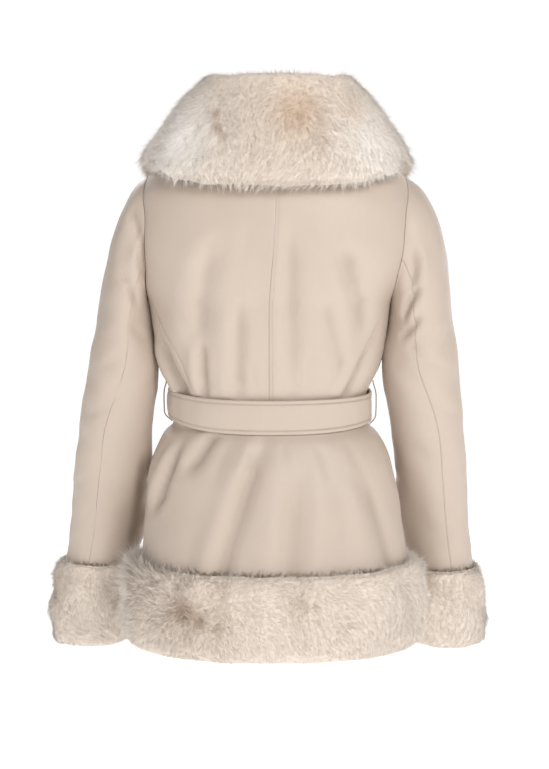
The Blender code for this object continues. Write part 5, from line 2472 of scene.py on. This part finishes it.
@dataclass
class Collar:
    """Fur collar that falls over the shoulders and runs into shawl lapels."""

    work: Workroom
    stations: int = 200
    under_steps: int = 7
    seam_gap: float = 0.0007
    edge_gap: float = 0.0044
    gap_run: float = 0.4
    steps: int = 4
    inset: float = 0.0075
    shoulder_turn: float = 0.38
    shoulder_run: float = 0.14
    full_rise: float = 0.06
    least_reach: float = 0.45
    edge_rows: tuple[tuple[float, float], ...] = ((0.008, 0.006), (0.012, 0.45), (0.002, 1.0))
    round_off: float = 0.013
    round_share: float = 0.35
    outer_drop: float = 0.5
    inner_share: float = 0.8
    inner_drop: float = 0.6
    fall_out: float = 0.003
    fall_shares: tuple[float, float] = (0.6, 0.3)
    inside_shares: tuple[float, float] = (0.35, 0.7)

    def __post_init__(self) -> None:
        """Read the table of the collar."""
        self.table = Table(COLLAR_ROWS, "turn")

    def ring(self, turn: float) -> Floats:
        """Section of the collar, from the neck under the fall to its edge, ridge and inside.

        Args:
            turn: Place along the collar, from -1 to 1.

        Returns:
            Points of the closed section.
        """
        body = self.work.body
        side = 1 if turn >= 0 else -1
        row = CollarRow(*(float(self.table.at(name, abs(turn))) for name in CollarRow._fields))
        share = np.linspace(0, 1, self.under_steps + 1)
        angle = side * mix(row.neck_angle, row.edge_angle, share)
        level = mix(row.neck_level, row.edge_level, share)
        under = body.out(angle, level, mix(self.seam_gap, self.edge_gap, ease(share / self.gap_run)))
        neck_out = normal_of(body.point, angle[0], level[0])
        edge_out = normal_of(body.point, angle[-1], level[-1])
        along = unit(under[-1] - under[-2])
        (low_on, low_out), (mid_on, mid_share), (high_on, high_share) = self.edge_rows
        low = under[-1] + along * low_on + edge_out * low_out
        mid = under[-1] + along * mid_on + edge_out * row.height * mid_share
        high = under[-1] + along * high_on + edge_out * row.height * high_share
        rise = unit(mix(np.array((0.0, 0.0, 1.0)), neck_out, row.lean))
        ridge = under[0] + rise * row.rise
        across = high - ridge
        across = unit(across - rise * np.dot(across, rise))
        round_off = min(self.round_off, row.rise * self.round_share)
        outer_ridge = ridge + across * round_off - rise * round_off * self.outer_drop
        inner_ridge = (ridge - across * round_off * self.inner_share
                       - rise * round_off * self.inner_drop)
        fall = [mix(outer_ridge, high, t) + edge_out * self.fall_out for t in self.fall_shares]
        inside = [mix(inner_ridge, under[0], t) for t in self.inside_shares]
        return np.array([*under, low, mid, high, *fall, outer_ridge, ridge, inner_ridge, *inside])

    def growth(self, turns: Floats) -> Growth:
        """How the fur grows along the collar.

        Args:
            turns: Places along it, from -1 to 1.

        Returns:
            The growth at each point of the sections.
        """
        under = self.under_steps
        inset = [0] * under + [0.15, 0.45, 0.9, 1, 1, 0.9, 0.6, 0.2, 0.4, 0.6, 0.5]
        grow = [0] * (under - 1) + [0.1, 0.5, 1.4, 1.2, 1, 1, 1, 1, 1, 0.9, 0.8, 0.7]
        reach = [0.5] * under + [0.5, 0.75, 1.1, 1.2, 1, 1, 0.95, 0.7, 0.5, 0.4, 0.4]
        lay = [1] * (under + 7) + [0.95, 0.7, -0.3, -0.5]
        bulge = [0] * (under + 1) + [0.5, 0.8, 0.6, -0.6, -1.2, -0.6, 1.1, 0.9, 0.3, 0]
        inset, grow, reach, lay, bulge = (refined_row(row, self.steps)
                                          for row in (inset, grow, reach, lay, bulge))
        place = np.abs(turns)
        slim = self.table.at("height", place) / self.table.at("height", 0.0)
        aside = np.exp(-((place - self.shoulder_turn) / self.shoulder_run) ** 2)
        low = np.minimum(slim, self.table.at("rise", place) / self.full_rise)
        inset = (inset + aside[:, None] * bulge) * self.inset * low[:, None]
        reach = reach * (self.least_reach + (1 - self.least_reach) * slim)[:, None]
        return Growth(inset, grow, reach, lay, np.abs(lay))

    def dress(self) -> None:
        """Build and dress the collar."""
        turns = np.linspace(-1.0, 1.0, self.stations + 1)
        rings = np.array([refined_loop(self.ring(turn), self.steps) for turn in turns])
        edge = (self.under_steps * self.steps, (self.under_steps + 3) * self.steps)
        PaddedTrim(self.work, "collar", rings, self.growth(turns), closed=False,
                   swirl=Ripple(seed=67, longest=0.24, shortest=0.06), swirl_turn=0.6, comb_sign=-1.0,
                   partings=COLLAR_PARTINGS, warm=COLLAR_WARM, ruffled=COLLAR_RUFFLED, pale=COLLAR_PAINTED_LIGHT,
                   front_column=44, front_share=1.4, front_wrap=0.25, depth_share=3.6,
                   edge_columns=edge).dress()


class BeltReach(NamedTuple):
    """Distance of the cloth from the waist's middle at one angle."""

    angle: float
    radius: float


@dataclass
class Belt:
    """Belt strap with its covered buckle and the two thread loops that hold it."""

    work: Workroom
    thick: float = 0.0035
    start: float = 176.0
    end: float = -238.0
    point_run: float = 10.0
    point_share: float = 0.30
    lap_start: float = 164.0
    lap_run: float = 16.0
    lap_gap: float = 0.0010
    station_step: float = 1.25
    sample_step: float = 4.5
    sample_drop: float = 0.001
    sample_levels: int = 8
    stitch_inset: float = 0.0055
    stitch_sink: float = 0.0004
    # Painted shade in the strap's stitched grooves and on the buckle's inward side.
    groove_shade: float = 0.85
    groove_columns: tuple[int, int] = (4, 10)
    middle_column: int = 7
    dent_depth: float = 0.0010
    side_angle: float = 90.0
    side_rise: float = 0.007
    left_shift: float = 0.005
    side_run: float = 36.0
    buckle_angle: float = 174.0
    buckle_half_width: float = 0.028
    buckle_half_height: float = 0.0325
    buckle_bar: float = 0.0038
    buckle_square: float = 0.28
    buckle_step: float = 3.0
    buckle_sides: int = 14
    buckle_shade: float = 0.6
    loop_radius: float = 0.0010
    loop_stand: float = 0.0045
    loop_twists: float = 16.0
    loop_plies: int = 3
    loop_sides: int = 6
    loop_steps: int = 24
    ply_share: float = 0.52
    loop_head: float = 0.0140
    loop_foot: float = 0.0080
    loop_over_top: tuple[tuple[float, float], ...] = ((-0.0030, 0.0070), (0.0, -0.0060))
    loop_over_foot: tuple[tuple[float, float], ...] = ((0.0, 0.0120), (-0.0015, 0.0010))

    def __post_init__(self) -> None:
        """Measure the cloth under the belt."""
        body = self.work.body
        self.middle = np.array([float(body.sections.at(name, WAIST_LEVEL)) for name in ("shift", "set_back")])
        levels = np.linspace(BELT_FOOT - self.sample_drop, BELT_TOP + self.left_shift, self.sample_levels)
        rows = []
        for angle in np.arange(self.end - 2 * self.sample_step, self.start + 4 * self.sample_step,
                               self.sample_step):
            points = body.point(np.full(len(levels), angle), levels)
            rows.append(BeltReach(float(angle), float(np.max(np.hypot(*(points[:, :2] - self.middle).T)))))
        self.reach = Table(rows, "angle")
        self.dents = Ripple(seed=97, longest=0.090, shortest=0.025)

    def point(self, angle: float, out: float, level: float) -> Floats:
        """Point at a distance out from the cloth under the belt.

        Args:
            angle: Angle round the body.
            out: Distance out.
            level: Level of the point.

        Returns:
            The point.
        """
        radius = float(self.reach.at("radius", angle)) + REST_GAP + out
        turn = math.radians(angle)
        x, y = self.middle + radius * np.array((math.sin(turn), math.cos(turn)))
        return np.array((x, y, level))

    def lift(self, angle: float) -> float:
        """How far the strap's end stands over its start."""
        return (self.thick + self.lap_gap) * float(ease((-angle - self.lap_start) / self.lap_run))

    def heights(self, angle: float) -> tuple[float, float]:
        """Height of the strap, pointed at its end, whose foot rises at the loops.

        Args:
            angle: Angle round the body.

        Returns:
            Half of its height, and the level of its middle.
        """
        to_end = min(1.0, max((angle - self.end) / self.point_run, 0.0))
        half = (BELT_TOP - BELT_FOOT) / 2 * mix(self.point_share, 1.0, to_end)
        turn = turned(angle, 0.0)
        rise = self.side_rise * math.exp(-((abs(turn) - self.side_angle) / self.side_run) ** 2)
        shift = self.left_shift * math.exp(-((turn - self.side_angle) / self.side_run) ** 2)
        return half - rise / 2, BELT_MIDDLE + rise / 2 + shift

    def section(self, angle: float) -> list[Floats]:
        """Section of the strap: rounded edges, stitched grooves and a soft middle.

        Args:
            angle: Angle round the body.

        Returns:
            Points of the closed section.
        """
        half, middle = self.heights(angle)
        lift = self.lift(angle)
        thick = self.thick
        groove = half - self.stitch_inset
        face = [(thick * 0.45, half), (thick * 0.80, half - 0.0005), (thick - 0.0001, half - 0.0016),
                (thick, half - 0.0032), (thick - 0.0005, groove), (thick + 0.0001, groove - 0.0022),
                (thick + 0.0004, groove * 0.5)]
        outer = face + [(thick + 0.0005, 0.0)] + [(out, -height) for out, height in face[::-1]]
        dent = float(self.dents.at(self.point(angle, 0.0, middle)[None])[0]) * self.dent_depth
        outer = [(out + dent * (1 - (height / half) ** 2), height) for out, height in outer]
        inner = [(0.0, -half + 0.0008), (-0.0001, -half * 0.4), (-0.0001, half * 0.4), (0.0, half - 0.0008)]
        return [self.point(angle, lift + out, middle + height) for out, height in outer + inner]

    def covered(self, name: str, node: str, rings: Floats, closed: bool, shade: Floats) -> Object:
        """Piece of belt leather.

        Args:
            name: Its name.
            node: Node that it stands for.
            rings: Rings of its surface.
            closed: Whether the rings close on themselves.
            shade: Shade of each point of a ring.

        Returns:
            The piece.
        """
        mesh = mesh_of(name, rings, tube_faces(rings, closed))
        write_floats(mesh, "shade", np.broadcast_to(shade, rings.shape[:2]))
        mesh.materials.append(self.work.belt_leather)
        return self.work.piece(mesh, Slot.BELT, [node])

    def strap(self) -> None:
        """Build and dress the strap with its topstitching."""
        angles = np.arange(self.start, self.end, -self.station_step)
        rings = np.array([self.section(angle) for angle in angles])
        # Painted shade along the two stitched grooves.
        shade = np.zeros(rings.shape[1])
        shade[list(self.groove_columns)] = self.groove_shade
        strap = self.covered("belt_strap", "belt", rings, False, shade)
        lines = []
        for way in (1, -1):
            line = []
            for angle in angles:
                half, middle = self.heights(angle)
                level = middle + way * (half - self.stitch_inset)
                line.append(self.point(angle, self.lift(angle) + self.thick - self.stitch_sink, level))
            lines.append(np.array(line))
        self.work.stitches("belt_topstitching", lines)

    def buckle(self) -> None:
        """Build and dress the covered frame that the belt runs through."""
        out = 2 * self.thick + self.lap_gap + SEAM_GAP + self.buckle_bar
        reach = float(self.reach.at("radius", self.buckle_angle))
        path = []
        for turn in np.radians(np.arange(0.0, 360.0, self.buckle_step)):
            c, s = math.cos(turn), math.sin(turn)
            x = self.buckle_half_width * math.copysign(abs(c) ** self.buckle_square, c)
            z = self.buckle_half_height * math.copysign(abs(s) ** self.buckle_square, s)
            path.append(self.point(self.buckle_angle + math.degrees(x / reach), out, BELT_MIDDLE + z))
        rings = tube_rings(np.array(path), self.buckle_bar, self.buckle_sides, closed=True)
        # Painted shade on the inward side of the buckle's ring, towards the strap.
        shade = np.zeros(self.buckle_sides)
        shade[self.buckle_sides // 2] = self.buckle_shade
        self.covered("buckle_cover", "buckle", rings, True, shade)

    def loop(self, side: Side) -> None:
        """Build and dress a twisted thread loop.

        Args:
            side: Side of the wearer.
        """
        body = self.work.body
        angle = side.value * self.side_angle
        touch = self.loop_radius + SEAM_GAP
        out = self.thick + self.loop_radius + self.loop_stand
        half, middle = self.heights(angle)
        top, foot = middle + half, middle - half
        path = smooth_path(np.array([
            body.out(angle, top + self.loop_head, touch),
            *(self.point(angle, out + step, top + height) for step, height in self.loop_over_top),
            *(self.point(angle, out + step, foot + height) for step, height in self.loop_over_foot),
            body.out(angle, foot - self.loop_foot, touch)]), self.loop_steps)
        frames = tube_rings(path, 1.0, 4, closed=False) - path[:, None]
        thin = self.loop_radius * self.ply_share
        points, faces = [], []
        for ply in range(self.loop_plies):
            turn = np.linspace(0, 2 * np.pi * self.loop_twists, len(path))
            turn = turn + 2 * np.pi * ply / self.loop_plies
            offset = frames[:, 0] * np.cos(turn)[:, None] + frames[:, 1] * np.sin(turn)[:, None]
            rings = tube_rings(path + offset * thin, thin, self.loop_sides, closed=False)
            first = len(points) * len(path) * self.loop_sides
            faces += [tuple(i + first for i in face) for face in tube_faces(rings, closed=False)]
            points.append(rings)
        node = side.named("belt_loop")
        mesh = mesh_of(node + "_thread", np.array(points), faces)
        mesh.materials.append(self.work.thread)
        self.work.piece(mesh, Slot.THREAD, [node])

    def dress(self) -> None:
        """Build and dress the strap, the buckle and the loops."""
        self.strap()
        self.buckle()
        for side in Side:
            self.loop(side)


def smooth_path(knots: Floats, steps: int) -> Floats:
    """Points on a smooth curve through knots, in so many steps a stretch."""
    wide = np.concatenate((2 * knots[:1] - knots[1:2], knots, 2 * knots[-1:] - knots[-2:-1]))
    return np.concatenate((splined(wide[:-3], wide[1:-2], wide[2:-1], wide[3:], steps), knots[-1:]))


def tube_rings(path: Floats, radius: float, sides: int, closed: bool) -> Floats:
    """Rings round a path.

    Args:
        path: Points of the path.
        radius: Radius of the rings.
        sides: Points of each ring.
        closed: Whether the path closes on itself.

    Returns:
        One ring of points for each point of the path.
    """
    if closed:
        tangent = unit(np.roll(path, -1, axis=0) - np.roll(path, 1, axis=0))
    else:
        tangent = unit(np.gradient(path, axis=0))
    away = path * np.array((1.0, 1.0, 0.0))
    first = unit(away - tangent * np.sum(away * tangent, axis=1, keepdims=True))
    second = np.cross(tangent, first)
    turn = 2 * np.pi * np.arange(sides) / sides
    return (path[:, None] + radius * (first[:, None] * np.cos(turn)[None, :, None]
                                      + second[:, None] * np.sin(turn)[None, :, None]))


def tube_faces(rings: Floats, closed: bool) -> Faces:
    """Faces of a tube, turned outward.

    Args:
        rings: Rings of the tube.
        closed: Whether the last ring meets the first; if not, a face closes each end.

    Returns:
        The faces, all the same way round.
    """
    stations, count = rings.shape[:2]
    faces = grid_quads(stations, count, wrap=True)
    last = (stations - 1) * count
    if closed:
        faces += [(last + i, last + (i + 1) % count, (i + 1) % count, i) for i in range(count)]
    else:
        faces += [tuple(range(count))[::-1], tuple(range(last, last + count))]
    flat = rings.reshape(-1, 3)
    volume = 0.0
    for face in faces:
        for i in range(1, len(face) - 1):
            volume += float(np.dot(flat[face[0]], np.cross(flat[face[i]], flat[face[i + 1]])))
    return faces if volume > 0 else [face[::-1] for face in faces]


class Lamp(NamedTuple):
    """Soft lamp: where it hangs, its width and height, and its power in watts."""

    name: str
    place: Point
    size: float
    power: float


LAMPS = (
    Lamp("key_lamp", (-1.6, 3.3, 1.7), 1.6, 103.0),
    Lamp("fill_lamp", (1.9, 3.2, 0.4), 2.0, 17.0),
    Lamp("front_key_lamp", (1.1, -3.6, 1.7), 1.6, 92.0),
    Lamp("front_fill_lamp", (-1.7, -3.3, 0.4), 2.0, 20.0),
)


@dataclass
class Studio:
    """Pale floor, soft light and the camera behind the coat."""

    eye: Point = (-0.0014, 3.4, 0.13)
    aim: Point = (-0.0014, 0.0, -0.326)
    focal_pixels: float = 2522.0
    picture_height: float = 769.0
    sensor: float = 36.0
    floor_level: float = -1.42
    floor_size: float = 40.0
    ambient: float = 0.36

    def aimed(self, name: str, data: bpy.types.ID, place: Point) -> Object:
        """Camera or lamp at a place, facing the coat.

        Args:
            name: Its name.
            data: The camera or the light.
            place: Where it stands.

        Returns:
            The thing.
        """
        thing = bpy.data.objects.new(name, data)
        thing.location = place
        thing.rotation_euler = (Vector(self.aim) - Vector(place)).to_track_quat("-Z", "Y").to_euler()
        bpy.context.scene.collection.objects.link(thing)
        return thing

    def camera(self) -> None:
        """Set the camera at the photograph's angle."""
        lens = bpy.data.cameras.new("camera")
        lens.sensor_width = self.sensor
        lens.lens = self.focal_pixels / self.picture_height * self.sensor
        bpy.context.scene.camera = self.aimed("camera", lens, self.eye)

    def floor(self) -> None:
        """Lay the floor."""
        half = self.floor_size / 2
        points = np.array([(x, y, self.floor_level) for x, y in
                           ((-half, -half), (half, -half), (half, half), (-half, half))])
        mesh = mesh_of("floor", points, [(0, 1, 2, 3)])
        mesh.materials.append(FloorFinish("studio_floor").material())
        floor = bpy.data.objects.new("floor", mesh)
        bpy.context.scene.collection.objects.link(floor)

    def world(self) -> None:
        """Fill the room with even white light that looks white."""
        world = bpy.data.worlds.new("studio_world")
        world.use_nodes = True
        sheet = NodeSheet(world.node_tree)
        sky = world.node_tree.nodes["Background"]
        sky.inputs["Color"].default_value = (1.0, 1.0, 1.0, 1.0)
        seen = sheet.add("ShaderNodeLightPath").outputs["Is Camera Ray"]
        sheet.feed(sky.inputs["Strength"], sheet.spread(seen, self.ambient, 1.0))
        bpy.context.scene.world = world

    def build(self) -> None:
        """Set up camera, floor and light."""
        bpy.context.scene.view_settings.view_transform = "Standard"
        self.camera()
        self.floor()
        self.world()
        for lamp in LAMPS:
            light = bpy.data.lights.new(lamp.name, "AREA")
            light.size = lamp.size
            light.energy = lamp.power
            self.aimed(lamp.name, light, lamp.place)


class SleeveRow(NamedTuple):
    """What sets one sleeve and its cuff apart from the other."""

    side: Side
    cap_pull: float
    cuff_foot: float
    cuff_lip: float
    # Painted shade at the cuff's parting, and how ruffled the cuff is.
    parted: float
    ruffled: float


SLEEVES = (
    SleeveRow(Side.LEFT, cap_pull=0.70, cuff_foot=-0.701, cuff_lip=0.040, parted=0.8, ruffled=0.8),
    SleeveRow(Side.RIGHT, cap_pull=0.92, cuff_foot=-0.705, cuff_lip=0.030, parted=0.1, ruffled=0.2),
)


def main() -> None:
    """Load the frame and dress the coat."""
    logging.basicConfig(level=logging.INFO, format="%(message)s")
    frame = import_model()
    LOG.info("the part has %d nodes", len(frame["nodes"]))
    Studio().build()
    work = Workroom()
    Bodice(work).dress()
    Skirt(work).dress()
    for row in SLEEVES:
        form = SleeveForm(work.body, row.side, row.cap_pull)
        Sleeve(work, form).dress()
        Cuff(work, form, row.cuff_foot, row.cuff_lip, row.parted, row.ruffled).dress()
    HemBand(work).dress()
    Collar(work).dress()
    Belt(work).dress()


if __name__ == "__main__":
    main()
